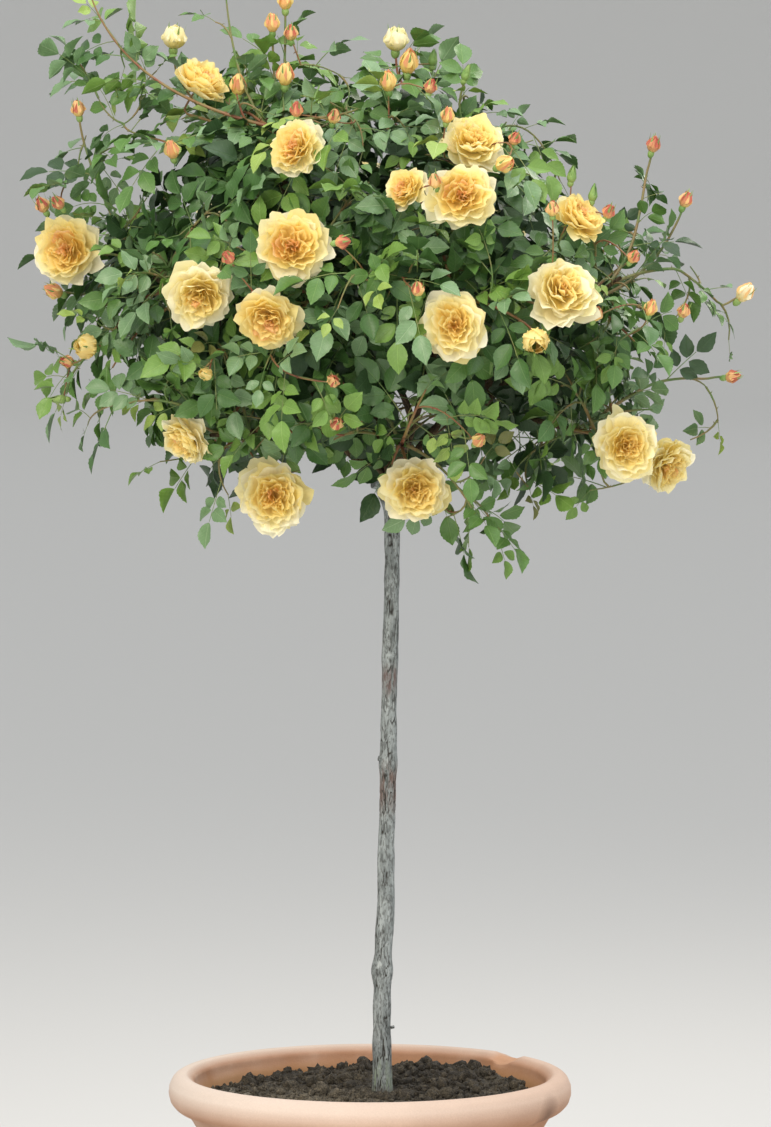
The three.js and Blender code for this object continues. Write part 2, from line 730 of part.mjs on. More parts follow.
add('pot', makePot(), 'terracotta');
add('soil', makeSoil(), 'compost');
add('trunk', geometryOf(solidOf(trunkGeometry(0))), 'bark');
for (const bough of boughs.values()) {
  add(`bough_${bough.mass.name}`, makeBough(bough), 'cane');
}
for (const mass of masses) {
  add(`foliage_${mass.name}`, makeMass(mass), 'foliage');
}

export default group;
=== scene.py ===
import math

import bmesh
import bpy
import numpy as np
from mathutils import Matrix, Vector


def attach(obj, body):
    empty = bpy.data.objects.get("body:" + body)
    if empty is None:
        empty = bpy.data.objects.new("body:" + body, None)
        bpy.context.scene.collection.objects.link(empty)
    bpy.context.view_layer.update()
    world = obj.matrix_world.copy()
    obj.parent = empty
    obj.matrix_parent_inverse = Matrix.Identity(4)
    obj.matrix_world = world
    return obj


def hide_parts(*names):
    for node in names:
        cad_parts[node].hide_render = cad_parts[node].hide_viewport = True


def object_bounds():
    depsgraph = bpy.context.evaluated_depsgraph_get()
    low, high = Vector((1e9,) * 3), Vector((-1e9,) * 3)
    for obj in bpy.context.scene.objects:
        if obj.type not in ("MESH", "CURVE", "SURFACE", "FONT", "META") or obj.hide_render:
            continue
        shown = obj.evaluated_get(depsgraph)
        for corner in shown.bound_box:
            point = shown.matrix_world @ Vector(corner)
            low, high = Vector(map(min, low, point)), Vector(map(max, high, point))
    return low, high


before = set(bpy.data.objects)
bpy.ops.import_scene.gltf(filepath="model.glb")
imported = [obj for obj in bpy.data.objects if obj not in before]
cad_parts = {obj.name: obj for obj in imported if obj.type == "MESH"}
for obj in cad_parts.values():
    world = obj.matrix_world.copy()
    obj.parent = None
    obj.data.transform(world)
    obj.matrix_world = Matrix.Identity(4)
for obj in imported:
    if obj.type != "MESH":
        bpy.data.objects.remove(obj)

# A full standard rose in a terracotta pot. Metres, +Z up, the front faces -Y.
cadBox = [list(corner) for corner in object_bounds()]

# Camera: where it stands, how far it looks down, and the lens for the long side of the image.
view = {"stand": (0.024, -8.9, 1.915), "tiltDown": 3.84, "lens": 182.08, "sensor": 36.0}

camera = bpy.data.cameras.new("camera")
camera.sensor_width = view["sensor"]
camera.lens = view["lens"]
camera.clip_end = 60
cameraObject = bpy.data.objects.new("camera", camera)
cameraObject.location = view["stand"]
cameraObject.rotation_euler = (math.radians(90 - view["tiltDown"]), 0, 0)
bpy.context.scene.collection.objects.link(cameraObject)
bpy.context.scene.camera = cameraObject


# Small helpers

def linear(hexText):
    channels = [int(hexText[i:i + 2], 16) / 255 for i in (1, 3, 5)]
    return (*[c / 12.92 if c <= 0.04045 else ((c + 0.055) / 1.055) ** 2.4 for c in channels], 1.0)


# A direction from its compass turn and its rise, in degrees.
def heading(turn, rise):
    around, lift = math.radians(turn), math.radians(rise)
    level = math.cos(lift)
    return np.array([math.cos(around) * level, math.sin(around) * level, math.sin(lift)])


def unit(vector):
    return vector / (np.linalg.norm(vector) + 1e-12)


def mix(low, high, share):
    return low + (high - low) * share


# The same number from 0 to 1 each time for the same three whole numbers.
def chance(mass, shoot, draw):
    raw = math.sin(mass * 12.9898 + shoot * 78.233 + draw * 37.719) * 43758.5453
    return raw - math.floor(raw)


def curve(start, bend, end, steps):
    t = np.linspace(0, 1, steps + 1)[:, None]
    return (1 - t) ** 2 * start + 2 * t * (1 - t) * bend + t * t * end


# The place at a share of the way along a row of points, and which way the row runs there.
def walk(points, share):
    stretches = np.linalg.norm(np.diff(points, axis=0), axis=1)
    left = share * stretches.sum()
    i = 0
    while i < len(stretches) - 1 and left > stretches[i]:
        left -= stretches[i]
        i += 1
    way = unit(points[i + 1] - points[i])
    return points[i] + way * left, way


def lengthOf(points):
    return float(np.linalg.norm(np.diff(points, axis=0), axis=1).sum())


# A smooth row of points through a few given ones.
def smoothLine(knots, steps):
    knots = np.array(knots, float)
    padded = np.vstack([2 * knots[0] - knots[1], knots, 2 * knots[-1] - knots[-2]])
    rows = []
    for i in range(len(knots) - 1):
        a, b, c, d = padded[i:i + 4]
        t = np.linspace(0, 1, steps, endpoint=False)[:, None]
        rows.append(0.5 * (2 * b + (c - a) * t + (2 * a - 5 * b + 4 * c - d) * t ** 2
                           + (3 * b - a - 3 * c + d) * t ** 3))
    return np.vstack([*rows, knots[-1:]])


# Smooth seeded noise from 0 to 1 at each point.
def noiseAt(points, seed):
    cell = np.floor(points)
    part = points - cell
    part = part * part * (3 - 2 * part)
    total = np.zeros(len(points))
    for corner in range(8):
        offset = np.array([corner & 1, corner >> 1 & 1, corner >> 2])
        at = cell + offset
        raw = np.sin(at[:, 0] * 127.1 + at[:, 1] * 311.7 + at[:, 2] * 74.7 + seed * 13.7) * 43758.5453
        total += (raw - np.floor(raw)) * np.prod(np.where(offset, part, 1 - part), axis=1)
    return total


# A level direction across a way.
def across(way):
    side = np.cross(way, (0, 0, 1)) if abs(way[2]) < 0.98 else np.cross(way, (0, 1, 0))
    return unit(side)


# A direction across a way, turned round it by an angle in radians.
def asideOf(way, angle):
    side = across(way)
    return side * math.cos(angle) + np.cross(way, side) * math.sin(angle)


# Meshes: parts are gathered as points, faces, map places and named values, and joined into a piece.

class Gather:
    def __init__(self):
        self.points, self.faces, self.maps, self.values, self.count = [], [], [], [], 0

    def add(self, points, faces, maps=None, values=None):
        self.points.append(points)
        self.faces.append(faces + self.count)
        self.maps.append(np.zeros((len(points), 2)) if maps is None else maps)
        self.values.append(np.zeros(len(points)) if values is None else values)
        self.count += len(points)


def makePiece(name, gather, material, nodes=(), hollow=False, mapped=False):
    points = np.vstack(gather.points)
    faces = np.vstack(gather.faces)
    corners = faces.shape[1]
    mesh = bpy.data.meshes.new(name)
    mesh.vertices.add(len(points))
    mesh.vertices.foreach_set("co", points.astype(np.float32).ravel())
    mesh.loops.add(faces.size)
    mesh.loops.foreach_set("vertex_index", faces.astype(np.int32).ravel())
    mesh.polygons.add(len(faces))
    mesh.polygons.foreach_set("loop_start", np.arange(0, faces.size, corners, dtype=np.int32))
    mesh.polygons.foreach_set("use_smooth", np.ones(len(faces), bool))
    if mapped:
        layer = mesh.uv_layers.new(name="OFBake")
        places = np.vstack(gather.maps)[faces.ravel()]
        layer.data.foreach_set("uv", places.astype(np.float32).ravel())
    if hollow:
        attribute = mesh.attributes.new("hollow", "FLOAT", "POINT")
        attribute.data.foreach_set("value", np.concatenate(gather.values).astype(np.float32))
    mesh.update(calc_edges=True)
    mesh.validate()
    mesh.materials.append(material)
    piece = bpy.data.objects.new(name, mesh)
    bpy.context.scene.collection.objects.link(piece)
    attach(piece, "root")
    if nodes:
        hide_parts(*nodes)
    print(name, len(faces) * (corners - 2), "triangles")
    return piece


# Rings of points joined into a skin. The last column joins the first where it is closed.
def skin(rows, columns, closed):
    row = np.arange(rows - 1)[:, None]
    column = np.arange(columns if closed else columns - 1)[None, :]
    nextColumn = (column + 1) % columns
    low, high = row * columns, (row + 1) * columns
    corners = [low + column, low + nextColumn, high + nextColumn, high + column]
    return np.stack(corners, -1).reshape(-1, 4)


# Rings round a row of points: which way each point of each ring looks.
def ringsAlong(points, sides):
    ways = np.gradient(points, axis=0)
    ways /= np.linalg.norm(ways, axis=1)[:, None] + 1e-12
    side = across(ways[0])
    looks = np.zeros((len(points), sides, 3))
    angles = np.linspace(0, 2 * math.pi, sides, endpoint=False)
    for i, way in enumerate(ways):
        side = unit(side - way * side.dot(way))
        over = np.cross(way, side)
        looks[i] = np.cos(angles)[:, None] * side + np.sin(angles)[:, None] * over
    return looks


def tube(gather, points, radii, sides):
    looks = ringsAlong(points, sides)
    radii = np.array(radii)
    rings = points[:, None, :] + looks * radii[:, None, None]
    gather.add(rings.reshape(-1, 3), skin(len(points), sides, True))


# A round body from an outline of radius and height pairs, turned about the upright axis.
def lathe(outline, sides):
    angles = np.linspace(0, 2 * math.pi, sides, endpoint=False)
    outline = np.array(outline)
    ring = np.stack([np.cos(angles), np.sin(angles), np.zeros(sides)], -1)
    points = outline[:, 0][:, None, None] * ring[None]
    points[:, :, 2] = outline[:, 1][:, None]
    return points, skin(len(outline), sides, True)


# An outline with more points on its straight stretches.
def finer(outline, step):
    rows = []
    for a, b in zip(outline[:-1], outline[1:]):
        a, b = np.array(a, float), np.array(b, float)
        count = max(1, int(round(np.linalg.norm(b - a) / step)))
        rows.extend(a + (b - a) * k / count for k in range(count))
    return np.array([*rows, outline[-1]])


# Materials: one function adds a node. Each input is a fixed value or another node's output.

def addNode(tree, kind, inputs=None, **settings):
    node = tree.nodes.new(kind)
    for key, value in settings.items():
        setattr(node, key, value)
    for key, source in (inputs or {}).items():
        if isinstance(source, bpy.types.NodeSocket):
            tree.links.new(source, node.inputs[key])
        else:
            node.inputs[key].default_value = source
    return node


def addMath(tree, operation, *terms):
    return addNode(tree, "ShaderNodeMath", dict(enumerate(terms)), operation=operation).outputs[0]


def times(tree, *factors):
    product = factors[0]
    for factor in factors[1:]:
        product = addMath(tree, "MULTIPLY", product, factor)
    return product


# A value's stretch from low to high becomes the one from toLow to toHigh, and stays within it.
def addRange(tree, source, low, high, toLow=0.0, toHigh=1.0):
    inputs = {"Value": source, "From Min": low, "From Max": high, "To Min": toLow, "To Max": toHigh}
    return addNode(tree, "ShaderNodeMapRange", inputs).outputs[0]


def addNoise(tree, place, scale, detail, roughness=0.5):
    inputs = {"Vector": place, "Scale": scale, "Detail": detail, "Roughness": roughness}
    return addNode(tree, "ShaderNodeTexNoise", inputs).outputs["Fac"]


def addRamp(tree, source, stops):
    node = addNode(tree, "ShaderNodeValToRGB", {"Fac": source})
    ramp = node.color_ramp
    while len(ramp.elements) < len(stops):
        ramp.elements.new(0.5)
    for element, (place, color) in zip(ramp.elements, stops):
        element.position = place
        element.color = linear(color)
    return node.outputs["Color"]


def blendColors(tree, factor, low, high, mode="MIX"):
    inputs = {0: factor, 6: low, 7: high}
    return addNode(tree, "ShaderNodeMix", inputs, data_type="RGBA", blend_type=mode).outputs[2]


# Paint over a colour, as thick as the factor says.
def paintOver(tree, color, factor, hexText):
    return blendColors(tree, factor, color, linear(hexText))


# A colour made darker or lighter by a value that is 1 where it stays.
def shadeColor(tree, color, value):
    grey = addNode(tree, "ShaderNodeCombineColor", {key: value for key in ("Red", "Green", "Blue")})
    return blendColors(tree, 1.0, color, grey.outputs[0], "MULTIPLY")


# A point's place and its three parts: in metres on the object, or on the map of a leaf or petal.
def placeOn(tree, mapped=False):
    if mapped:
        place = addNode(tree, "ShaderNodeUVMap", uv_map="OFBake").outputs["UV"]
    else:
        place = addNode(tree, "ShaderNodeTexCoord").outputs["Object"]
    return place, addNode(tree, "ShaderNodeSeparateXYZ", {"Vector": place}).outputs


def stretched(tree, place, scale):
    return addNode(tree, "ShaderNodeMapping", {"Vector": place, "Scale": scale}).outputs[0]


# A spot round one place, which fades in between a far and a near distance.
def addSpot(tree, place, spot, far, near, strength=1.0):
    away = addNode(tree, "ShaderNodeVectorMath", {0: place, 1: spot}, operation="DISTANCE")
    return addRange(tree, away.outputs["Value"], far, near, 0.0, strength)


def hollowOf(tree):
    return addNode(tree, "ShaderNodeAttribute", attribute_name="hollow").outputs["Fac"]


def startMaterial(name, roughness, specular=0.5):
    material = bpy.data.materials.new(name)
    material.use_nodes = True
    surface = material.node_tree.nodes["Principled BSDF"]
    surface.inputs["Roughness"].default_value = roughness
    surface.inputs["Specular IOR Level"].default_value = specular
    return material, material.node_tree, surface


# The colour and the relief go to the shader.
def finishMaterial(tree, surface, color, height, distance, strength):
    relief = {"Height": height, "Distance": distance, "Strength": strength}
    bump = addNode(tree, "ShaderNodeBump", relief)
    tree.links.new(bump.outputs["Normal"], surface.inputs["Normal"])
    tree.links.new(color, surface.inputs["Base Color"])


# Skeleton of the crown: the same masses, boughs and shoots as the solids, by the same rule.
# Masses: compass turn, distance out, height, reach, and the bough that carries it with how far along.
crown = {
    "middle": (0.031, 0.0, 1.735),
    "union": (0.0316, 0.0, 1.436),
    "masses": {
        "mid_front": (-72, 0.305, 1.750, 0.160, None, 0),
        "mid_right_front": (-28, 0.365, 1.765, 0.170, None, 0),
        "mid_right_back": (22, 0.365, 1.750, 0.175, None, 0),
        "mid_back_left": (112, 0.320, 1.765, 0.175, None, 0),
        "mid_left_back": (160, 0.370, 1.785, 0.175, None, 0),
        "mid_left_front": (-155, 0.365, 1.765, 0.170, None, 0),
        "heart": (-100, 0.025, 1.795, 0.155, None, 0),
        "mid_front_left": (-113, 0.305, 1.770, 0.165, "mid_front", 0.42),
        "mid_back_right": (67, 0.325, 1.760, 0.175, "mid_back_left", 0.3),
        "low_front": (-86, 0.245, 1.535, 0.150, "mid_front", 0.22),
        "low_right_front": (-27, 0.375, 1.545, 0.165, "mid_right_front", 0.3),
        "low_right_back": (36, 0.350, 1.555, 0.165, "mid_right_back", 0.3),
        "low_back": (97, 0.290, 1.545, 0.165, "mid_back_left", 0.5),
        "low_left_back": (150, 0.340, 1.565, 0.165, "mid_left_back", 0.3),
        "low_left_front": (-143, 0.315, 1.545, 0.165, "mid_left_front", 0.3),
        "top_right_front": (-48, 0.185, 1.955, 0.160, "mid_right_front", 0.55),
        "top_right_back": (48, 0.195, 1.950, 0.165, "mid_right_back", 0.5),
        "top_left_back": (138, 0.225, 1.985, 0.165, "mid_left_back", 0.5),
        "top_left_front": (-140, 0.225, 1.985, 0.165, "mid_left_front", 0.55),
    },
    "rises": (34, 62),
    "lead": 0.28,
    "aim": 0.2,
    "foot": 0.55,
    "gap": 0.0003,
    # radii at both ends of the boughs from the union, and of those that branch from them
    "boughRadii": ((0.0076, 0.0048), (0.0058, 0.0044)),
}

# What the shoots end in: place, turn and rise of the way it faces, how far across, and colouring.
heads = {
    "bloom": [
        (-0.470, -0.080, 1.808, -112, 4, 0.116, "apricot"),
        (-0.256, -0.335, 1.741, -100, -22, 0.118, "cream"),
        (-0.115, -0.385, 1.818, -88, 8, 0.124, "apricot"), (-0.150, -0.385, 1.706, -92, -28, 0.104, "gold"),
        (-0.260, -0.080, 2.068, -30, 52, 0.096, "gold"), (-0.112, -0.315, 1.966, -118, 22, 0.096, "apricot"),
        (0.158, -0.268, 1.974, -70, 40, 0.108, "lemon"), (0.138, -0.372, 1.893, -86, 10, 0.112, "apricot"),
        (0.052, -0.345, 1.905, -130, 30, 0.072, "gold"), (0.318, -0.300, 1.862, -40, 42, 0.090, "gold"),
        (0.290, -0.362, 1.752, -70, 24, 0.124, "cream"), (0.126, -0.405, 1.700, -96, 2, 0.112, "lemon"),
        (-0.148, -0.205, 1.434, -94, -4, 0.118, "lemon"), (0.070, -0.262, 1.446, -84, -6, 0.110, "lemon"),
        (0.392, -0.235, 1.511, -76, -8, 0.112, "lemon"), (0.462, -0.060, 1.472, -56, -26, 0.096, "lemon"),
        (-0.282, -0.213, 1.520, -140, -30, 0.092, "lemon"),
    ],
    "bud": [
        (0.248, -0.396, 1.678, -88, -20, 0.042, "golden"),
        (-0.434, -0.125, 1.660, -130, 10, 0.040, "golden"),
        (-0.305, 0.010, 2.134, -60, 78, 0.040, "pale"), (-0.151, -0.060, 2.154, -100, 80, 0.030, "orange"),
        (-0.203, -0.086, 2.058, -100, 76, 0.034, "orange"), (-0.451, -0.060, 2.024, -120, 74, 0.030, "red"),
        (0.040, -0.060, 2.129, -80, 76, 0.040, "pale"), (0.147, -0.144, 2.077, -40, 66, 0.026, "green"),
        (0.438, -0.060, 1.969, -30, 72, 0.030, "pink"), (0.488, -0.060, 1.884, -20, 66, 0.030, "red"),
        (0.578, -0.060, 1.739, -20, 48, 0.034, "peach"), (0.560, -0.060, 1.612, -10, 10, 0.028, "red"),
        (-0.490, 0.000, 1.742, -150, 20, 0.032, "orange"), (-0.510, 0.000, 1.876, -150, 60, 0.030, "red"),
        (-0.131, -0.040, 2.190, -90, 84, 0.032, "orange"),
    ],
    "tip": [
        (-0.429, -0.060, 2.194, -100, 82, 0.020, None), (-0.222, -0.060, 2.196, -90, 86, 0.020, None),
        (0.160, -0.250, 1.410, -60, -50, 0.020, None),
    ],
}
# Buds too small for the solids, each on a side shoot.
smallBuds = [
    (-0.122, -0.060, 2.141, -90, 76, 0.029, "red"), (-0.130, -0.125, 2.073, -80, 74, 0.036, "flamed"),
    (-0.301, -0.192, 1.959, -110, 60, 0.031, "orange"), (0.059, -0.126, 2.092, -60, 74, 0.039, "orange"),
    (0.028, -0.207, 2.062, -100, 70, 0.034, "orange"), (0.092, -0.213, 2.056, -40, 70, 0.027, "red"),
    (0.097, -0.072, 2.101, -60, 76, 0.027, "green"), (0.117, -0.276, 2.011, -70, 60, 0.027, "orange"),
    (-0.054, -0.279, 2.010, -60, 66, 0.027, "red"), (0.218, -0.282, 1.977, -40, 62, 0.025, "pink"),
    (0.098, -0.387, 1.913, -110, 60, 0.027, "red"), (0.200, -0.334, 1.939, -50, 20, 0.034, "orange"),
    (0.305, -0.284, 1.922, -60, 70, 0.027, "green"), (0.274, -0.336, 1.871, -100, 70, 0.027, "red"),
    (0.337, -0.283, 1.894, -50, 76, 0.027, "green"), (0.360, -0.282, 1.867, -30, 60, 0.026, "pink"),
    (0.398, -0.277, 1.799, -40, 50, 0.025, "pink"), (0.479, -0.185, 1.715, -40, 66, 0.027, "red"),
    (0.425, -0.258, 1.720, -60, 60, 0.027, "orange"), (0.340, -0.329, 1.714, -40, 60, 0.027, "red"),
    (0.072, -0.418, 1.753, -100, 70, 0.027, "red"), (-0.042, -0.404, 1.824, -20, 10, 0.027, "pink"),
    (-0.054, -0.390, 1.617, -80, 20, 0.027, "red"), (-0.050, -0.355, 1.551, -70, 30, 0.027, "red"),
    (0.163, -0.323, 1.524, -60, 30, 0.027, "orange"), (0.120, -0.187, 1.415, -60, -30, 0.027, "green"),
    (-0.468, -0.060, 1.635, -150, 10, 0.027, "red"), (-0.481, -0.060, 1.577, -160, 0, 0.027, "green"),
    (-0.245, -0.325, 1.624, -120, 20, 0.027, "golden"), (-0.480, -0.090, 1.880, -150, 50, 0.027, "red"),
    (-0.110, -0.300, 2.020, -90, 70, 0.027, "pink"), (-0.210, -0.390, 1.800, -120, 40, 0.027, "pink"),
]

# Blooms on the far side, which the photo doesn't show.
farBlooms = [
    (0.205, 0.355, 1.835, 62, 22, 0.104, "lemon"), (-0.020, 0.375, 1.915, 95, 34, 0.098, "apricot"),
    (-0.240, 0.350, 1.850, 122, 20, 0.110, "cream"), (0.055, 0.440, 1.730, 86, 4, 0.116, "gold"),
    (-0.145, 0.405, 1.665, 106, -4, 0.104, "lemon"), (0.245, 0.365, 1.655, 58, -6, 0.110, "apricot"),
    (0.128, 0.395, 1.645, 78, -10, 0.092, "lemon"),
]

# Ends of leafy shoots that stand out from the crown.
sprays = [
    (-0.356, -0.060, 2.024), (-0.383, -0.080, 2.001), (-0.422, -0.060, 2.048), (-0.379, -0.060, 2.090),
    (-0.450, -0.060, 2.098), (-0.417, -0.060, 2.165), (-0.452, -0.060, 1.935), (-0.487, -0.060, 1.906),
    (-0.322, -0.120, 1.978), (-0.423, -0.120, 1.701), (-0.438, -0.060, 1.537), (-0.470, -0.060, 1.586),
    (-0.201, -0.040, 2.102), (-0.239, -0.060, 2.160), (-0.039, -0.060, 2.074), (-0.038, -0.120, 2.031),
    (0.154, -0.100, 2.039), (0.292, -0.120, 1.916), (0.368, -0.150, 1.832), (0.421, -0.060, 1.890),
    (0.454, -0.120, 1.686), (0.496, -0.060, 1.783), (0.556, -0.060, 1.669), (0.522, -0.080, 1.595),
    (0.540, -0.060, 1.540), (0.497, -0.060, 1.514), (0.430, -0.100, 1.469), (0.340, -0.100, 1.438),
    (0.246, -0.150, 1.441), (0.160, -0.220, 1.429), (0.115, -0.230, 1.403), (0.196, -0.200, 1.372),
    (-0.107, -0.200, 1.474), (-0.217, -0.180, 1.435), (-0.324, -0.120, 1.483),
    (0.260, 0.250, 1.980), (-0.250, 0.260, 2.060), (0.100, 0.300, 2.080), (0.440, 0.200, 1.760),
    (-0.470, 0.170, 1.800), (0.180, 0.460, 1.700), (-0.200, 0.470, 1.760), (0.330, 0.330, 1.480),
    (-0.010, -0.250, 1.960), (0.030, -0.200, 1.990), (-0.030, -0.150, 2.010), (0.080, -0.220, 1.955),
    (-0.060, -0.270, 1.930), (0.020, -0.120, 1.960), (-0.020, -0.300, 1.900),
    (-0.370, -0.080, 1.968), (-0.400, -0.060, 1.945), (-0.440, -0.040, 1.985), (-0.345, -0.100, 2.048),
    (-0.290, -0.090, 2.010), (-0.330, -0.050, 2.085),
]

growth = {
    "shoots": 8,
    "fewestShoots": 4,
    "tipReach": (0.84, 1.06),
    # turn from one shoot, leaf or petal to the next
    "turn": 137.5,
    # seeded blooms: how far back, how open to the outside, how many, their size and how they look up
    "behind": -0.04,
    "open": 0.35,
    "bloomShare": 0.34,
    "across": (0.090, 0.116),
    "lift": 0.25,
    # those that would show from the front become tips: how far back and how high the others stand
    "seededBehind": 0.10,
    "seededBetween": (1.54, 1.93),
    # a long shoot arches up, and one that ends in a bloom comes in from behind it
    "arch": 0.16,
    "archAt": 0.55,
    "bloomArch": 0.12,
    "straightUnder": 0.150,
    # a shoot that doesn't fit is tried shorter, and from other places on its stem
    "shorten": (1, 0.82, 0.64, 0.48),
    "shootsFrom": 0.2,
    "placeTurn": 0.618,
    "placeTries": (0, 0.38, 0.76, 0.14, 0.52, 0.9),
    "fitSteps": 8,
    "clear": 0.0007,
    "shootRadius": 0.0029,
    "tipRadius": {"bloom": 0.0016, "bud": 0.0016, "tip": 0.0013},
    "stemRadii": (0.0046, 0.0030),
    "stemPast": 0.2,
    "stemStraight": 0.005,
    "stemBend": 0.45,
    # a bloom's middle and the end of its stalk, in shares of its radius along the way it faces
    "middle": -0.15,
    "stalkEnd": -0.5,
    # shoots that end upright lean out first and then turn up: how far out and how high the bend is
    "upright": 0.80,
    "uprightBend": (0.80, 0.26),
    # stretches of the drawn shoots, and the neck that brings a flower in from behind
    "stretch": 0.012,
    "neck": {"long": 0.045, "share": 0.4, "strength": 0.7, "from": 0.45, "over": (0.3, 0.2), "at": 0.8},
    "rounding": 0.6,
    "shortArch": 0.05,
}
# The finer growth, which the solids leave out. "from" gives each kind's least distance to its limb.
fineGrowth = {
    "from": {"spray": 0.03, "bud": 0.05, "seeded": 0.035, "far": 0.06},
    "radii": {"spray": (0.0019, 0.0010), "bud": (0.0016, 0.0010), "seeded": (0.0020, 0.0010),
              "far": (0.0024, 0.0016)},
    "least": 0.02,
    # how far a shoot leads on along its limb, heads for its end and arches up, in shares of its span
    "bend": (0.35, 0.3, 0.06),
    "turnsUp": 0.7,
    "budInset": -0.006,
    "count": 21,
    "reach": (0.22, 1.0),
    # buds among them: share, least distance out, size and colours
    "budShare": 0.2,
    "budsBeyond": 0.13,
    "budAcross": 0.027,
    "budColors": ("red", "orange", "green", "orange"),
    "clear": 0.004,
}

middle = np.array(crown["middle"])
union = np.array(crown["union"])
up = np.array([0.0, 0.0, 1.0])


def makeMasses():
    rows = []
    for number, (name, (turn, out, height, reach, carrier, along)) in enumerate(crown["masses"].items()):
        centre = heading(turn, 0) * out + middle
        centre[2] = height
        rows.append({"name": name, "number": number, "turn": turn, "centre": centre, "reach": reach,
                     "carrier": carrier, "along": along})
    return rows


masses = makeMasses()
centres = np.array([mass["centre"] for mass in masses])
reaches = np.array([mass["reach"] for mass in masses])


# How far a point lies inside a mass's space. Each border is the flat face between two reaches.
def insideBy(mass, point):
    powers = ((point - centres) ** 2).sum(1) - reaches ** 2
    spans = np.linalg.norm(centres - mass["centre"], axis=1)
    spans[mass["number"]] = 1
    room = (powers - powers[mass["number"]]) / (2 * spans)
    room[mass["number"]] = np.inf
    return room.min()


def massAt(point):
    return masses[int(np.argmin(((point - centres) ** 2).sum(1) - reaches ** 2))]


def makeBoughs():
    rows = {}
    for mass in masses:
        parent = rows.get(mass["carrier"])
        if parent is None:
            start, lead = union, heading(mass["turn"], crown["rises"][mass["number"] % 2])
        else:
            start, lead = walk(parent["points"], mass["along"])
        foot = mass["centre"] - unit(mass["centre"] - start) * crown["foot"] * mass["reach"]
        span = np.linalg.norm(foot - start)
        bend = start + lead * span * crown["lead"] + unit(foot - start) * span * crown["aim"]
        size = crown["boughRadii"][0 if parent is None else 1]
        rows[mass["name"]] = {"points": curve(start, bend, foot, 24), "size": size}
    return rows


boughs = makeBoughs()


def stemOf(mass):
    place, way = walk(boughs[mass["name"]]["points"], 1)
    start = place + way * crown["gap"]
    straight = start + way * growth["stemStraight"]
    end = mass["centre"] + unit(mass["centre"] - middle) * mass["reach"] * growth["stemPast"]
    bend = straight + way * np.linalg.norm(end - start) * growth["stemBend"]
    return np.vstack([start[None], curve(straight, bend, end, 8)])


# Trunk: centre line from the soil to the graft union, from the foot up.
trunk = {
    "line": [
        (0.0188, 0, 0.480), (0.0188, -0.002, 0.666), (0.0242, 0.001, 0.772), (0.025, 0.004, 0.852),
        (0.0277, 0.002, 0.960), (0.0292, -0.003, 1.078), (0.0327, -0.001, 1.228), (0.0339, 0.002, 1.299),
        (0.0344, 0.001, 1.381), (0.0313, 0, 1.452),
    ],
    "radius": (0.0138, 0.0122),
    "flare": (0.0042, 0.045),
    # knots: height, swelling, length
    "knots": [(0.676, 0.0032, 0.017), (0.762, 0.0016, 0.022), (1.003, 0.0024, 0.015),
              (1.170, 0.0012, 0.018), (1.436, 0.0105, 0.024)],
    # stubs of cut side shoots: height, compass turn, length, radius
    "stubs": [(0.583, -10, 0.006, 0.0032), (0.790, -70, 0.003, 0.0045), (1.008, 200, 0.0015, 0.0045),
              (1.436, -150, 0.010, 0.0085), (1.446, -30, 0.012, 0.008), (1.430, 80, 0.010, 0.0075)],
    "sides": 96,
    "ring": 0.0024,
    # length over which the top is drawn in to a rough knob
    "knob": 0.012,
    # depth of the lengthwise cracks, and height of the broad lumps
    "crack": 0.0014,
    "lump": 0.0012,
}
trunkLine = smoothLine(trunk["line"], 14)
trunkFoot = np.array(trunk["line"][0][:2])


def trunkRadius(height):
    low, high = trunk["line"][0][2], trunk["line"][-1][2]
    radius = mix(*trunk["radius"], (height - low) / (high - low))
    radius = radius + trunk["flare"][0] * np.exp(-(height - low) / trunk["flare"][1])
    for place, swell, long in trunk["knots"]:
        radius = radius + swell * np.exp(-((height - place) / long) ** 2)
    return radius


# Rods that growth keeps clear of: all limbs and the trunk.
def makeRods():
    starts, ends, radii = [], [], []
    for bough in boughs.values():
        points = bough["points"][::6]
        starts.extend(points[:-1])
        ends.extend(points[1:])
        radii.extend(np.linspace(*bough["size"], len(points) - 1))
    points = trunkLine[::6]
    starts.extend(points[:-1])
    ends.extend(points[1:])
    radii.extend(trunkRadius(points[:-1, 2]))
    return np.array(starts), np.array(ends), np.array(radii)


rodStarts, rodEnds, rodRadii = makeRods()


# Whether a rod comes too near the stretch from a to b.
def meetsRods(a, b, radius):
    u, v, w = b - a, rodEnds - rodStarts, a - rodStarts
    uu, uv, vv = u.dot(u), v.dot(u), (v * v).sum(1)
    uw, vw = w.dot(u), (v * w).sum(1)
    skewed = uu * vv - uv * uv
    s = np.clip(np.where(skewed > 1e-15, (uv * vw - vv * uw) / np.maximum(skewed, 1e-15), 0), 0, 1)
    t = np.clip((uv * s + vw) / vv, 0, 1)
    s = np.clip((uv * t - uw) / uu, 0, 1)
    gaps = np.linalg.norm(w + u * s[:, None] - v * t[:, None], axis=1)
    return bool((gaps < radius + rodRadii + crown["gap"] * 2).any())


def makeHead(kind, at, faces, wide, mass, colouring):
    radius = wide / 2
    ball = at + faces * (radius * growth["middle"] if kind == "bloom" else 0)
    return {"kind": kind, "at": at, "faces": faces, "across": wide, "radius": radius,
            "ball": ball, "mass": mass, "colouring": colouring}


# A head from its row of place, turn, rise, size and colouring.
def headAt(kind, x, y, z, turn, rise, wide, colouring):
    at = np.array([x, y, z])
    return makeHead(kind, at, heading(turn, rise), wide, massAt(at), colouring)


placedHeads = [headAt(kind, *row) for kind, rows in heads.items() for row in rows]
blooms = [head for head in placedHeads if head["kind"] == "bloom"]


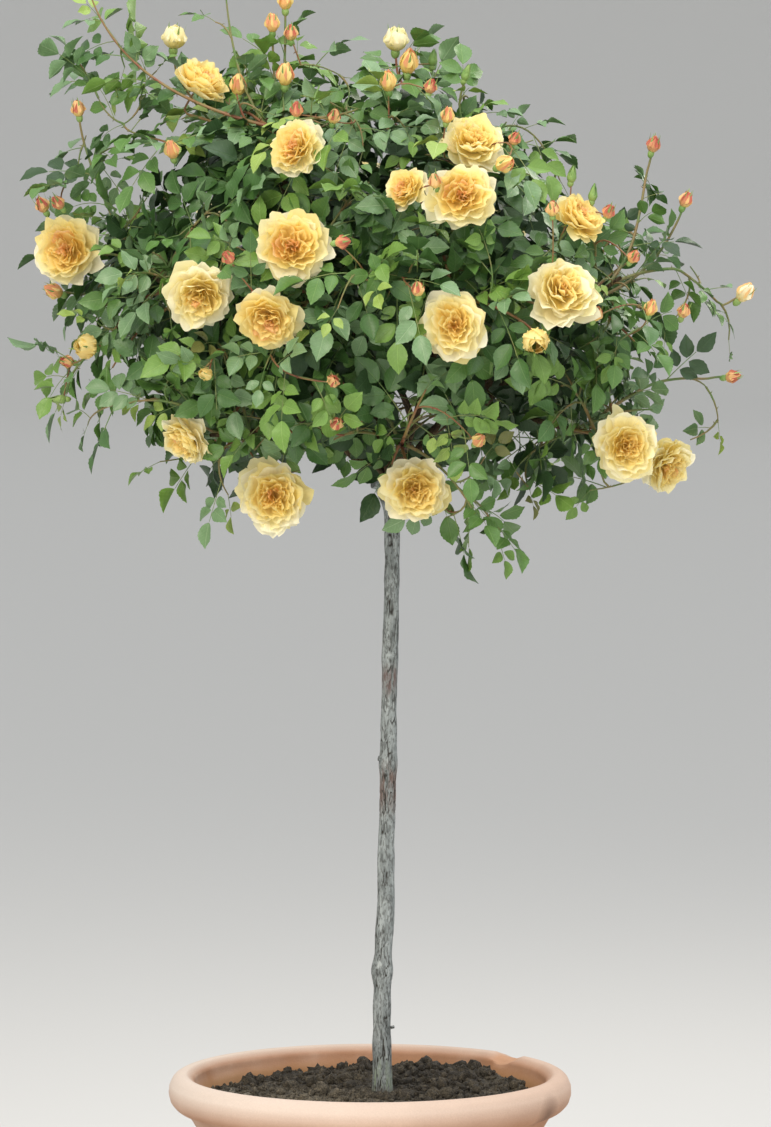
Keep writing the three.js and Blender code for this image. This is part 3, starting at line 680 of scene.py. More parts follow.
def meetsBlooms(point, room, own=None):
    return any(head is not own and np.linalg.norm(point - head["ball"]) < head["radius"] + room
               for head in blooms)


# Directions spread evenly over a ball, one for each shoot.
def spread(i, count, twist):
    height = 1 - (2 * i + 1) / count
    around = math.radians(i * growth["turn"] + twist)
    flat = math.sqrt(1 - height * height)
    return np.array([math.cos(around) * flat, math.sin(around) * flat, height])


def makeSeededHeads():
    made = []
    palettes = ("lemon", "apricot", "gold", "cream")
    lowest, highest = growth["seededBetween"]
    for mass in masses:
        number = mass["number"]
        taken = sum(head["mass"] is mass for head in placedHeads)
        count = max(growth["fewestShoots"], growth["shoots"] - taken)
        for i in range(count):
            way = spread(i, count, 360 * chance(number, 0, 1))
            at = mass["centre"] + way * mass["reach"] * mix(*growth["tipReach"], chance(number, i, 2))
            outward = unit(at - middle)
            isOpen = outward.dot(unit(at - mass["centre"])) > growth["open"]
            flowers = (mass["centre"][1] > growth["behind"] and isOpen
                       and chance(number, i, 3) < growth["bloomShare"])
            wide = mix(*growth["across"], chance(number, i, 4))
            faces = unit(outward + up * growth["lift"])
            kind = "bloom" if flowers else "tip"
            head = makeHead(kind, at, faces, wide, mass, palettes[(number + i) % 4])
            if flowers and (insideBy(mass, at) < head["radius"] or meetsBlooms(at, head["radius"])):
                head["kind"] = "tip"
            # the blooms that show from the front are the placed ones
            if at[1] < growth["seededBehind"] or not lowest < at[2] < highest:
                head["kind"] = "tip"
            made.append(head)
            if head["kind"] == "bloom":
                blooms.append(head)
    return made


seededHeads = makeSeededHeads()
farHeads = [headAt("bloom", *row) for row in farBlooms]
blooms += farHeads


def shootPath(start, head):
    back = head["radius"] * growth["stalkEnd"] if head["kind"] == "bloom" else 0
    end = head["at"] + head["faces"] * back
    span = np.linalg.norm(end - start)
    if span < growth["straightUnder"]:
        return np.array([start, end])
    bend = mix(start, end, growth["archAt"]) + up * span * growth["arch"]
    if head["kind"] == "bloom":
        bend = bend - head["faces"] * span * growth["bloomArch"]
    return np.array([start, bend, end])


def shootFits(mass, path, head):
    radius = growth["shootRadius"]
    if any(meetsRods(a, b, radius) for a, b in zip(path[:-1], path[1:])):
        return False
    for i in range(1, growth["fitSteps"] + 1):
        point = walk(path, i / growth["fitSteps"])[0]
        held = head["kind"] == "bloom" and np.linalg.norm(point - head["ball"]) < head["radius"]
        inside = held or insideBy(mass, point) > radius + growth["clear"]
        if not inside or meetsBlooms(point, radius + growth["clear"], head):
            return False
    return True


def uprightBend(start, end):
    bend = mix(start, end, growth["uprightBend"][0])
    bend[2] = mix(start[2], end[2], growth["uprightBend"][1])
    return bend


# A soft curve along a shoot's path.
def softened(path, head):
    start, end = path[0], path[-1]
    span = np.linalg.norm(end - start)
    if head["faces"][2] > growth["upright"] and head["kind"] != "bloom":
        bend = uprightBend(start, end)
    elif len(path) == 3:
        bend = 2 * path[1] - 0.5 * (start + end)
        bend = mix(path[1], bend, growth["rounding"])
    else:
        bend = mix(start, end, 0.5) + up * span * growth["shortArch"]
    steps = max(4, int(span / growth["stretch"]))
    points = curve(start, bend, end, steps)
    if head["kind"] != "tip":
        neck = growth["neck"]
        behind = end - head["faces"] * min(neck["long"], span * neck["share"])
        t = np.linspace(0, 1, steps + 1)[:, None]
        rise, fall = neck["over"]
        pull = np.clip((t - neck["from"]) / rise, 0, 1) * np.clip((1 - t) / fall, 0, 1)
        points = points + (behind - points[int(steps * neck["at"])]) * pull * neck["strength"]
    return points


# The dense crown's outline seen from the front: how far it reaches at each 22.5 degrees, turning from
# the right over the top. Beyond it only single shoots stand out, with fewer and smaller leaves.
outline = {
    "middle": (0.0, 1.76),
    "reach": [0.41, 0.36, 0.32, 0.31, 0.305, 0.345, 0.395, 0.43,
              0.435, 0.44, 0.39, 0.30, 0.270, 0.36, 0.430, 0.475],
    "front": 0.45,
    "back": 0.52,
    "fade": 9.0,
    "smaller": 0.84,
    # on the shoots that stand out: share of the leaves kept and their size, left and right of "airyFrom"
    "free": ((0.70, 0.92), (0.46, 0.80)),
    "airyFrom": 0.22,
    # share of the reach at which a seeded shoot stops
    "stop": 1.06,
}


def reachShare(point):
    x, z = point[0] - outline["middle"][0], point[2] - outline["middle"][1]
    step = math.degrees(math.atan2(z, x)) % 360 / 22.5
    i = int(step)
    reach = mix(outline["reach"][i % 16], outline["reach"][(i + 1) % 16], step - i)
    deep = outline["front"] if point[1] < 0 else outline["back"]
    return math.sqrt((x * x + z * z) / reach ** 2 + (point[1] / deep) ** 2)


# Room that leaves keep free. A bloom's lengths are shares of its radius, where they aren't metres.
clearing = {
    "ball": 0.92,
    # before its face: from how far behind it, to how many metres ahead, how far aside
    "face": (-0.2, 0.13, 0.86),
    # between it and the front, and between it and the light: least turn towards it, and how far aside
    "front": (0.2, 0.84),
    "sun": (0.1, 0.60),
    "sunReach": 0.22,
    "sunWay": (-2.6, -5.0, 3.1),
    # before a bud, in metres: from how far behind it, and how far aside
    "bud": (-0.01, 0.024),
}
sunWay = unit(np.array(clearing["sunWay"]))
budPlaces = np.array([*[bud[:3] for bud in smallBuds],
                      *[head["at"] for head in placedHeads if head["kind"] == "bud"]])
budWays = np.array([unit(np.array(view["stand"]) - place) for place in budPlaces])


# How far a step goes along a way, and how far aside of it.
def aheadAside(step, way):
    ahead = step.dot(way)
    return ahead, np.linalg.norm(step - way * ahead)


# A leaf would hide a bloom's face, or run through its petals.
def hidesBloom(point, own=None):
    back, far, faceWide = clearing["face"]
    for head in blooms:
        if head is own:
            continue
        radius, step = head["radius"], point - head["at"]
        if np.linalg.norm(point - head["ball"]) < radius * clearing["ball"]:
            return True
        ahead, aside = aheadAside(step, head["faces"])
        if back * radius < ahead < far and aside < radius * faceWide:
            return True
        toCamera = unit(np.array(view["stand"]) - head["at"])
        for way, reach, (least, wide) in ((toCamera, math.inf, clearing["front"]),
                                          (sunWay, clearing["sunReach"], clearing["sun"])):
            if head["faces"].dot(way) > least:
                ahead, aside = aheadAside(step, way)
                if 0 < ahead < reach and aside < radius * wide:
                    return True
    return False


# A leaf would stand before a bud that shows from the front.
def hidesBud(point):
    away = point - budPlaces
    ahead = (away * budWays).sum(1)
    aside = np.linalg.norm(away - budWays * ahead[:, None], axis=1)
    return bool(((ahead > clearing["bud"][0]) & (aside < clearing["bud"][1])).any())


# A shoot ends where it would stand out from the dense crown.
def trimmed(line):
    for i, point in enumerate(line):
        if reachShare(point) > outline["stop"] and i > 3:
            return line[:i]
    return line


def makeShoot(mass, path, radii, order, head=None, free=False):
    return {"mass": mass, "path": path, "radii": radii, "order": order, "head": head, "free": free}


def growSkeleton():
    shoots = []
    for mass in masses:
        stem = stemOf(mass)
        shoots.append(makeShoot(mass, stem, growth["stemRadii"], 0))
        ends = [head for head in [*placedHeads, *seededHeads] if head["mass"] is mass]
        for number, head in enumerate(ends):
            lengths = (1,) if any(head is other for other in placedHeads) else growth["shorten"]
            place = number * growth["placeTurn"] % 1
            grown = growShoot(mass, stem, head, place, lengths)
            if grown:
                shoots.append(grown)
    return shoots


def growShoot(mass, stem, head, place, lengths):
    free = any(head is other for other in placedHeads)
    for length in lengths:
        for shift in growth["placeTries"]:
            share = growth["shootsFrom"] + (1 - growth["shootsFrom"]) * ((place + shift) % 1)
            start = walk(stem, share)[0]
            at = mix(start, head["at"], length)
            shorter = {**head, "at": at, "kind": "tip"} if length < 1 else head
            path = shootPath(start, shorter)
            if shootFits(mass, path, shorter):
                line = softened(path, shorter)
                if not free and any(hidesBloom(point, shorter) for point in line[2::2]):
                    continue
                if shorter["kind"] == "tip" and not free:
                    line = trimmed(line)
                radii = (growth["shootRadius"], growth["tipRadius"][shorter["kind"]])
                return makeShoot(mass, line, radii, 1, shorter, free)
    return None


# Finer shoots start from the nearest limb within the mass.
def growFine(shoots):
    fine = []
    anchors = {mass["name"]: [] for mass in masses}
    for shoot in shoots:
        for share in np.linspace(0.15, 0.85, 8):
            place, way = walk(shoot["path"], share)
            anchors[shoot["mass"]["name"]].append((place, way))

    def addFine(head, kind, free=True):
        taken = anchors[head["mass"]["name"]]
        places = np.array([place for place, _ in taken])
        gaps = np.linalg.norm(places - head["at"], axis=1)
        gaps[gaps < fineGrowth["from"][kind]] = np.inf
        start, way = taken[int(np.argmin(gaps))]
        span = np.linalg.norm(head["at"] - start)
        if not np.isfinite(gaps.min()) or span < fineGrowth["least"]:
            return
        insets = {"bud": fineGrowth["budInset"], "bloom": head["radius"] * growth["stalkEnd"], "tip": 0}
        end = head["at"] + head["faces"] * insets[head["kind"]]
        lead, aim, arch = fineGrowth["bend"]
        bend = start + way * span * lead + (end - start) * aim + up * span * arch
        if head["kind"] == "bloom":
            bend = bend - head["faces"] * span * growth["bloomArch"]
        if head["faces"][2] > growth["upright"] and end[2] > start[2] + 0.03:
            bend = mix(bend, uprightBend(start, end), fineGrowth["turnsUp"])
        path = curve(start, bend, end, max(4, int(span / growth["stretch"])))
        if not free and (reachShare(end) > outline["stop"]
                         or any(hidesBloom(point) for point in path[::2])):
            return
        fine.append(makeShoot(head["mass"], path, fineGrowth["radii"][kind], 2, head, free))
        if free:
            taken.extend(walk(path, share) for share in (0.3, 0.5, 0.7, 0.9))

    for spray in sprays:
        at = np.array(spray)
        addFine(makeHead("tip", at, unit(at - middle), 0.02, massAt(at), None), "spray")
    for row in smallBuds:
        addFine(headAt("bud", *row), "bud")
    for mass in masses:
        number = mass["number"]
        for i in range(fineGrowth["count"]):
            way = spread(i, fineGrowth["count"], 360 * chance(number, 7, 51))
            far = mass["reach"] * mix(*fineGrowth["reach"], chance(number, i, 52))
            centre, clear = mass["centre"], fineGrowth["clear"]
            at = centre + way * far
            while insideBy(mass, at) < clear and np.linalg.norm(at - centre) > 0.03:
                at = mix(at, centre, 0.1)
            outward = unit(at - middle)
            isBud = (centre[1] > growth["behind"] and far > fineGrowth["budsBeyond"]
                     and chance(number, i, 53) < fineGrowth["budShare"])
            colouring = fineGrowth["budColors"][(number + i) % 4]
            head = makeHead("bud" if isBud else "tip", at, unit(outward + up), fineGrowth["budAcross"],
                            mass, colouring)
            if not meetsBlooms(at, clear):
                addFine(head, "seeded", False)
    for head in farHeads:
        addFine(head, "far")
    return fine


shoots = growSkeleton()
shoots += growFine(shoots)
print("skeleton", len(shoots), "shoots,", len(blooms), "blooms")


# Leaves: each has three, five or seven toothed leaflets along a thin stalk.
leafRule = {
    "every": 0.0255,
    "everyOnStem": 0.026,
    "firstAt": 0.12,
    "everyOnBough": 0.016,
    "boughFrom": 0.55,
    "stalk": 0.082,
    "stalkSag": (0.05, 0.30),
    # degrees off the shoot, for most leaves and for the last one
    "pitch": 56,
    "pitchUnrest": 10,
    "lastPitch": 14,
    # how far a leaf turns out from the crown and up
    "axisOut": 0.36,
    "axisUp": 0.03,
    # towards a shoot's end the leaves are younger and smaller
    "youngFrom": 0.72,
    "youngSmaller": 0.35,
    "threeShorter": 0.72,
    "stalkRadii": (0.0010, 0.0006),
    "terminal": 0.052,
    "sizes": (0.74, 1.10),
    # pairs of leaflets: where on the stalk, and their size as a share of the last one's
    "pairs": {3: [(0.62, 0.84)], 5: [(0.40, 0.68), (0.70, 0.88)],
              7: [(0.30, 0.56), (0.53, 0.76), (0.77, 0.88)]},
    # share of leaves with three leaflets, which small ones always have, and of the others with seven
    "threes": 0.16,
    "smallUnder": 0.7,
    "sevens": 0.14,
    # how far along a shoot the last leaf stands, by what the shoot ends in
    "lastAt": {"tip": 0.99, "bloom": 0.80, "bud": 0.78, "stem": 0.95},
    # half sizes of the crown, and the shares of them that part the shade from the outer and young leaves
    "crown": (0.56, 0.45, 0.44),
    "shadeUnder": 0.68,
    "youngBeyond": 0.75,
    "topFrom": 1.95,
    "pairAngle": 62,
    "wide": 0.60,
    # how far a blade turns up to the sky and out from the crown
    "sky": 0.75,
    "out": 1.0,
    "unrest": 0.38,
    "bladeUnrest": 0.17,
    # pairs tilt in to a shallow trough, and all leaflets hang a little
    "trough": 0.18,
    "droop": 0.10,
    # columns of air that stay open, front to back: x, z, half width, half height
    "openings": [(0.0576, 1.556, 0.022, 0.040), (0.232, 1.508, 0.014, 0.022),
                 (0.097, 1.545, 0.011, 0.026), (0.166, 1.512, 0.010, 0.022)],
}


# A leaflet of length 1: a folded blade with a toothed edge, as points, faces and map places.
def leafletShape(fold, curl, wave, teeth=8):
    along = np.linspace(0, 1, teeth + 1)
    edge = np.linspace(0, 1, 2 * teeth + 1)
    half = 0.52 * np.sin(math.pi * edge ** 0.90) ** (0.78 + 0.34 * edge)
    tooth = np.where(np.arange(2 * teeth + 1) % 2 == 1, 0.034, 0.0)
    tooth[[0, -1]] = 0
    tooth *= np.sin(math.pi * edge)
    points = [np.stack([np.zeros(teeth + 1), along, np.zeros(teeth + 1)], -1)]
    for side in (-1, 1):
        x = side * (half + tooth)
        points.append(np.stack([x, edge + tooth * 0.7, np.zeros(2 * teeth + 1)], -1))
    points = np.vstack(points)
    left, right = teeth + 1, 3 * teeth + 2
    faces = []
    for i in range(teeth):
        for base, flip in ((left, True), (right, False)):
            e = base + 2 * i
            for face in ((i, e, e + 1), (i, e + 1, i + 1), (i + 1, e + 1, e + 2)):
                faces.append(face[::-1] if flip else face)
    maps = np.stack([0.5 + points[:, 0] * 0.9, points[:, 1] * 0.94 + 0.02], -1)
    t, s = points[:, 1].copy(), np.abs(points[:, 0])
    points[:, 0] *= leafRule["wide"]
    points[:, 2] = fold * s - curl * t ** 2 + wave * np.sin(t * 9 + points[:, 0] * 5) * s
    return points, np.array(faces), maps


# Fold, curl and wave of each kind of blade.
leafFolds = ((0.26, 0.16, 0.06), (0.36, 0.24, -0.08), (0.18, 0.10, 0.10), (0.44, 0.06, 0.05),
             (0.10, 0.32, -0.07))
leaflets = [leafletShape(*shape) for shape in leafFolds]
# deep in the shade the blades have fewer teeth
shadeLeaflets = [leafletShape(*shape, teeth=5) for shape in leafFolds]

# The leaves keep within the solids' box and a little more.
boxLow, boxHigh = np.array(cadBox[0]), np.array(cadBox[1])
boxRoom = (boxHigh - boxLow) * 0.02 + 0.004
boxLow, boxHigh = boxLow - boxRoom, boxHigh + boxRoom


# Each mix gives the share of each leaf colour. The pale grey-blue blade colour is a painted sheen: it stands
# in for the sky's reflection, most of all among the top leaves.
leafColors = ["leafShade", "leafDeep", "leafMid", "leafBlue", "leafGrass", "leafFresh", "leafBronze"]
leafMixes = {
    "inner": (0.45, 0.35, 0.20, 0, 0, 0, 0),
    "outer": (0.05, 0.25, 0.33, 0.20, 0.155, 0.015, 0),
    "young": (0, 0, 0.23, 0.21, 0.40, 0.13, 0.03),
    "top": (0, 0.12, 0.29, 0.34, 0.20, 0.05, 0),
}


def pick(shares, draw):
    return int(np.searchsorted(np.cumsum(shares), draw * 0.9999))


def inBox(point):
    return bool((point > boxLow).all() and (point < boxHigh).all())


def inOpening(point):
    return any(((point[0] - x) / wide) ** 2 + ((point[2] - z) / tall) ** 2 < 1
               for x, z, wide, tall in leafRule["openings"])


def leafMix(root, young, depth):
    if young > 0.25 and depth > leafRule["youngBeyond"]:
        return leafMixes["young"]
    if depth < leafRule["shadeUnder"]:
        return leafMixes["inner"]
    return leafMixes["top"] if root[2] > leafRule["topFrom"] else leafMixes["outer"]


def growLeaves():
    rng = np.random.default_rng(731)
    rows, stalks = [], Gather()
    for number, shoot in enumerate(shoots):
        path, span, head = shoot["path"], lengthOf(shoot["path"]), shoot["head"]
        if shoot["order"] == 0:
            count = max(2, int(span / leafRule["everyOnStem"]))
        else:
            count = max(2, int(round(span / leafRule["every"])))
        kind = head["kind"] if head else "stem"
        lastAt = leafRule["lastAt"][kind]
        for i in range(count):
            share = mix(leafRule["firstAt"], lastAt, (i + 0.3 + 0.6 * rng.random()) / count)
            isLast = kind == "tip" and i == count - 1
            share = lastAt if isLast else share
            root, way = walk(path, share)
            outward = unit(root - middle)
            depth = np.linalg.norm((root - middle) / leafRule["crown"])
            aside = asideOf(way, math.radians(i * growth["turn"] + 47 * number))
            if isLast:
                pitch = math.radians(leafRule["lastPitch"])
            else:
                pitch = math.radians(leafRule["pitch"] + rng.normal(0, leafRule["pitchUnrest"]))
            axis = unit(way * math.cos(pitch) + aside * math.sin(pitch)
                        + outward * leafRule["axisOut"] + up * leafRule["axisUp"])
            young = max(0, share - leafRule["youngFrom"]) / (1 - leafRule["youngFrom"])
            young = 0 if kind == "stem" else young
            size = mix(*leafRule["sizes"], rng.random()) * (1 - leafRule["youngSmaller"] * young)
            beyond = reachShare(root + axis * leafRule["stalk"] * size * 1.4) - 1
            if beyond > 0:
                keep, smaller = math.exp(-beyond * outline["fade"]), outline["smaller"]
                if shoot["free"]:
                    share, smaller = outline["free"][int(root[0] > outline["airyFrom"])]
                    keep = max(keep, share)
                if rng.random() > keep:
                    continue
                size *= smaller
            shine = up * leafRule["sky"] + outward * leafRule["out"]
            shine = shine + rng.normal(0, leafRule["unrest"], 3)
            face = unit(shine - axis * shine.dot(axis))
            color = pick(leafMix(root, young, depth), rng.random())
            if size < leafRule["smallUnder"] or rng.random() < leafRule["threes"]:
                leafCount = 3
            else:
                leafCount = 7 if rng.random() < leafRule["sevens"] else 5
            addLeaf(rows, stalks, rng, root, axis, face, size, leafCount, color)
    return rows, stalks


def addLeaf(rows, stalks, rng, root, axis, face, size, leafCount, color):
    long = leafRule["stalk"] * size * (leafRule["threeShorter"] if leafCount == 3 else 1)
    sag = mix(*leafRule["stalkSag"], rng.random())
    t = np.linspace(0, 1, 5)[:, None]
    line = root + axis * long * t - up * sag * long * t ** 2
    if hidesBloom(line[-1]) or hidesBloom(line[2]) or inOpening(line[-1]):
        return
    blades = []
    places = [(1.0, 1.0, 0)]
    for share, small in leafRule["pairs"][leafCount]:
        places += [(share, small, -1), (share, small, 1)]
    for share, small, which in places:
        at, way = walk(line, share)
        side = np.cross(way, face)
        spreadBy = math.radians(leafRule["pairAngle"] + rng.normal(0, 7)) * which
        leaflet = unit(way * math.cos(spreadBy) + side * math.sin(spreadBy) - up * leafRule["droop"])
        look = face - side * which * leafRule["trough"] + rng.normal(0, leafRule["bladeUnrest"], 3)
        look = unit(look - leaflet * look.dot(leaflet))
        length = leafRule["terminal"] * size * small * rng.uniform(0.92, 1.08)
        start = at + leaflet * (0.0035 if which else 0.001)
        centre = start + leaflet * length * 0.55
        if hidesBloom(centre) or hidesBud(centre) or inOpening(centre):
            continue
        if not inBox(start + leaflet * length * 1.05):
            return
        blades.append((start, leaflet, look, length, rng.integers(len(leaflets)), color))
    if blades:
        rows += blades
        tube(stalks, line, np.linspace(*leafRule["stalkRadii"], 5) * size, 4)


# Plain leaves on the outer part of each bough close the crown's heart.
def addBoughLeaves(rows, stalks):
    rng = np.random.default_rng(977)
    for number, bough in enumerate(boughs.values()):
        path = bough["points"]
        count = max(4, int(lengthOf(path) * (1 - leafRule["boughFrom"]) / leafRule["everyOnBough"]))
        for i in range(count):
            root, way = walk(path, mix(leafRule["boughFrom"], 1, (i + rng.random()) / count))
            aside = asideOf(way, math.radians(i * growth["turn"] + 71 * number))
            axis = unit(way * 0.6 + aside)
            shine = unit(root - middle) + up * 0.4 + rng.normal(0, 0.3, 3)
            face = unit(shine - axis * shine.dot(axis))
            addLeaf(rows, stalks, rng, root, axis, face, 1.05, 5, 0)


leafRows, leafStalks = growLeaves()
addBoughLeaves(leafRows, leafStalks)
print("leaflets", len(leafRows))


# Blooms: rings of petals, from the broad guard petals to the crumpled ones in the heart.
# Lengths are shares of the bloom's radius: base, bend and tip as distance out and height.
bloomRule = {
    "rings": [
        # count, base, bend, tip, width, cup, ruffle, lip, unrest of the roll
        (7, (0.05, -0.30), (0.60, -0.50), (1.04, -0.14), 1.00, 0.12, 0.085, 0.22, 13),
        (6, (0.05, -0.26), (0.60, -0.36), (0.97, 0.08), 0.98, 0.16, 0.085, 0.20, 13),
        (7, (0.05, -0.22), (0.60, -0.22), (0.85, 0.24), 0.88, 0.20, 0.075, 0.15, 13),
        (8, (0.05, -0.20), (0.54, -0.14), (0.70, 0.34), 0.72, 0.26, 0.065, 0.10, 15),
        (8, (0.05, -0.18), (0.44, -0.10), (0.55, 0.38), 0.60, 0.30, 0.050, 0.08, 16),
        (9, (0.04, -0.14), (0.32, -0.04), (0.42, 0.38), 0.42, 0.34, 0.050, 0.06, 30),
        (9, (0.03, -0.10), (0.20, 0.00), (0.28, 0.37), 0.34, 0.34, 0.055, 0.05, 45),
        (6, (0.01, -0.06), (0.08, 0.04), (0.13, 0.35), 0.28, 0.34, 0.055, 0.04, 70),
    ],
    # petal tone of each ring, from the guard petals inward
    "tones": {
        "cream": (0, 0, 0, 1, 1, 2, 2, 3),
        "lemon": (1, 0, 1, 1, 2, 2, 3, 3),
        "gold": (1, 2, 2, 2, 3, 3, 3, 4),
        "apricot": (0, 1, 1, 2, 3, 3, 3, 4),
    },
    "rows": 7,
    "columns": 9,
    # how far one bloom's form strays from the next: droop of the outer petals, and out of round
    "habit": 0.17,
    "oval": 0.07,
    # share of outer petals that are short, and how short
    "short": 0.14,
    "shortBy": 0.84,
    # unrest of the places in a ring, and share of petals one tone off
    "turnUnrest": 0.14,
    "oddTones": 0.22,
    # rings from here on crowd into four quarters, by this much
    "heartFrom": 5,
    "quartered": 0.45,
    # radius and base of the green urn
    "calyx": (0.12, -0.27),
}
# A petal's outline. Lengths are shares of its own length, "across" ones of its half width.
petalForm = {
    # the notch in its edge: how deep, how far off the middle, how wide
    "notch": (0.02, 0.11),
    "notchOff": 0.22,
    "notchAcross": 0.26,
    "lobes": 0.022,
    "shoulders": 0.24,
    # how wide it is at the foot, where it is widest, and how it narrows to its edge
    "foot": 0.22,
    "widestAt": 0.68,
    "narrowFrom": 0.66,
    "narrowOver": 0.46,
    "lipFrom": 0.72,
}
petalTones = ["petalCream", "petalLemon", "petalButter", "petalGold", "petalApricot", "petalAmber",
              "petalRed"]
# tones of a bud's outer and inner petals. A green one is still closed and shows none
budTones = {"golden": (3, 2), "flamed": (3, 5), "pale": (0, 1), "peach": (0, 4), "orange": (5, 3),
            "red": (6, 4), "pink": (6, 5), "green": (None, 3)}
budRule = {
    "petals": 6,
    # the buds are fuller than their solids
    "full": 1.22,
    "long": 0.58,
    "wide": 0.29,
    # from this size on they open, with half width and height
    "openFrom": 0.04,
    "open": (0.36, 0.50),
    # the red ones are young and blunt
    "blunt": 0.47,
    "redTone": 6,
    # how far each petal stands lower than the last, how they overlap, and how they cup
    "lower": 0.03,
    "bulge": 1.75,
    "overlap": 2.3,
    "cup": 0.75,
    # radius and base of the green urn, and how long the sepals are on a bud and on a bloom
    "calyx": (0.15, -0.30),
    "sepalLong": 0.86,
    "bloomSepal": 0.021,
    # outline of a closed green bud, in shares of its size
    "closed": ((0.05, -0.3), (0.18, -0.22), (0.23, -0.05), (0.19, 0.12), (0.07, 0.26), (0.02, 0.5)),
    # outline of the green urn under each flower, in shares of its radius
    "urn": ((0.25, -1.6), (0.75, -1.2), (1.0, -0.5), (0.95, 0.2), (0.7, 0.6)),
    "sepals": 5,
    "sepalWide": 0.0100,
}


# One petal as a grid, in the bloom's own axes: out along x, up along z. It runs from base by bend to
# tip, and comes to a point where "point" is 1.
def petal(rng, base, bend, tip, width, cup, ruffle, lip, roll, turn, point=0.0):
    rows, columns = (5, 3) if point else (bloomRule["rows"], bloomRule["columns"])
    t = np.linspace(0, 1, rows)[:, None] * np.ones((1, columns))
    s = np.linspace(-1, 1, columns)[None, :] * np.ones((rows, 1))
    deep = rng.uniform(*petalForm["notch"])
    notch = deep * np.exp(-((s - rng.normal(0, petalForm["notchOff"])) / petalForm["notchAcross"]) ** 2)
    lobes = petalForm["lobes"] * np.sin(s * 5.4 + rng.uniform(0, 6.28))
    t = t * (1 - (1 - point) * (petalForm["shoulders"] * np.abs(s) ** 3 + notch + lobes))
    base, bend, tip = (np.array(corner)[:, None, None] for corner in (base, bend, tip))
    out, high = (1 - t) ** 2 * base + 2 * t * (1 - t) * bend + t * t * tip
    dOut, dHigh = 2 * (1 - t) * (bend - base) + 2 * t * (tip - bend)
    long = np.sqrt(dOut ** 2 + dHigh ** 2) + 1e-9
    nOut, nHigh = -dHigh / long, dOut / long
    full = mix(petalForm["foot"], 1, np.sin(np.clip(t / petalForm["widestAt"], 0, 1) * math.pi / 2))
    towardsEdge = np.clip((t - petalForm["narrowFrom"]) / petalForm["narrowOver"], 0, 1)
    narrow = np.sqrt(np.clip(1 - towardsEdge ** 3, 0.05, 1))
    taper = 1 - point * np.clip((t - 0.2) / 0.8, 0, 1) ** 0.9
    half = width / 2 * full * narrow * taper
    phase = rng.uniform(0, 6.28)
    waves = ruffle * t ** 2 * np.sin(s * 4.2 + phase) + ruffle * 0.3 * t ** 3 * np.sin(s * 8 + phase * 2)
    lift = cup * half * s ** 2 + waves - lip * np.clip(t - petalForm["lipFrom"], 0, 1) ** 1.5 * 2
    lateral = s * half
    turned = math.radians(roll)
    side = lateral * math.cos(turned)
    lift = lift + lateral * math.sin(turned)
    x, y, z = out + nOut * lift, side, high + nHigh * lift
    c, n = math.cos(turn), math.sin(turn)
    points = np.stack([x * c - y * n, x * n + y * c, z], -1).reshape(-1, 3)
    upMap = np.linspace(0, 1, rows)[:, None] * np.ones_like(s)
    maps = np.stack([0.5 + 0.46 * s, 0.03 + 0.94 * upMap], -1)
    return points, skin(rows, columns, False), maps.reshape(-1, 2)


def frameOf(faces, twist):
    side = across(faces)
    over = np.cross(faces, side)
    c, n = math.cos(twist), math.sin(twist)
    return np.stack([side * c + over * n, over * c - side * n, faces], 0)


def addBloom(petals, greens, rng, head):
    axes = frameOf(head["faces"], rng.uniform(0, 6.28))
    tones = bloomRule["tones"][head["colouring"]]
    small = 0.94 if head["radius"] > 0.04 else 0.97
    habit, oval = rng.uniform(-1, 1) * bloomRule["habit"], rng.uniform(-1, 1) * bloomRule["oval"]
    size = head["radius"] * small * np.array([1 + oval, 1 - oval, 1])
    for ring, (count, base, bend, tip, width, cup, ruffle, lip, unrest) in enumerate(bloomRule["rings"]):
        start = rng.uniform(0, 6.28)
        for i in range(count):
            turn = start + 2 * math.pi * (i + rng.normal(0, bloomRule["turnUnrest"])) / count
            if ring >= bloomRule["heartFrom"]:
                quarter = round(turn / (math.pi / 2)) * math.pi / 2
                turn = mix(turn, quarter, bloomRule["quartered"])
            loose = 1 - ring / 8
            stretch = rng.uniform(0.95 - 0.13 * loose, 1.03 + 0.05 * loose)
            if ring < 4 and rng.random() < bloomRule["short"]:
                stretch *= bloomRule["shortBy"]
            tipAt = (tip[0] * stretch, tip[1] + habit * loose + rng.normal(0, 0.03 + 0.07 * loose))
            made = petal(rng, base, bend, tipAt, width * rng.uniform(0.9, 1.1), cup, ruffle, lip,
                         rng.normal(0, unrest), turn)
            tone = tones[ring]
            if rng.random() < bloomRule["oddTones"]:
                tone = int(np.clip(tone + rng.choice([-1, 1]), 0, 4))
            points = made[0] * size @ axes + head["at"]
            petals[tone].add(points, made[1], made[2])
    wide, low = bloomRule["calyx"]
    addCalyx(greens, rng, head["at"], axes, head["radius"] * wide, low * head["radius"], 1.0)


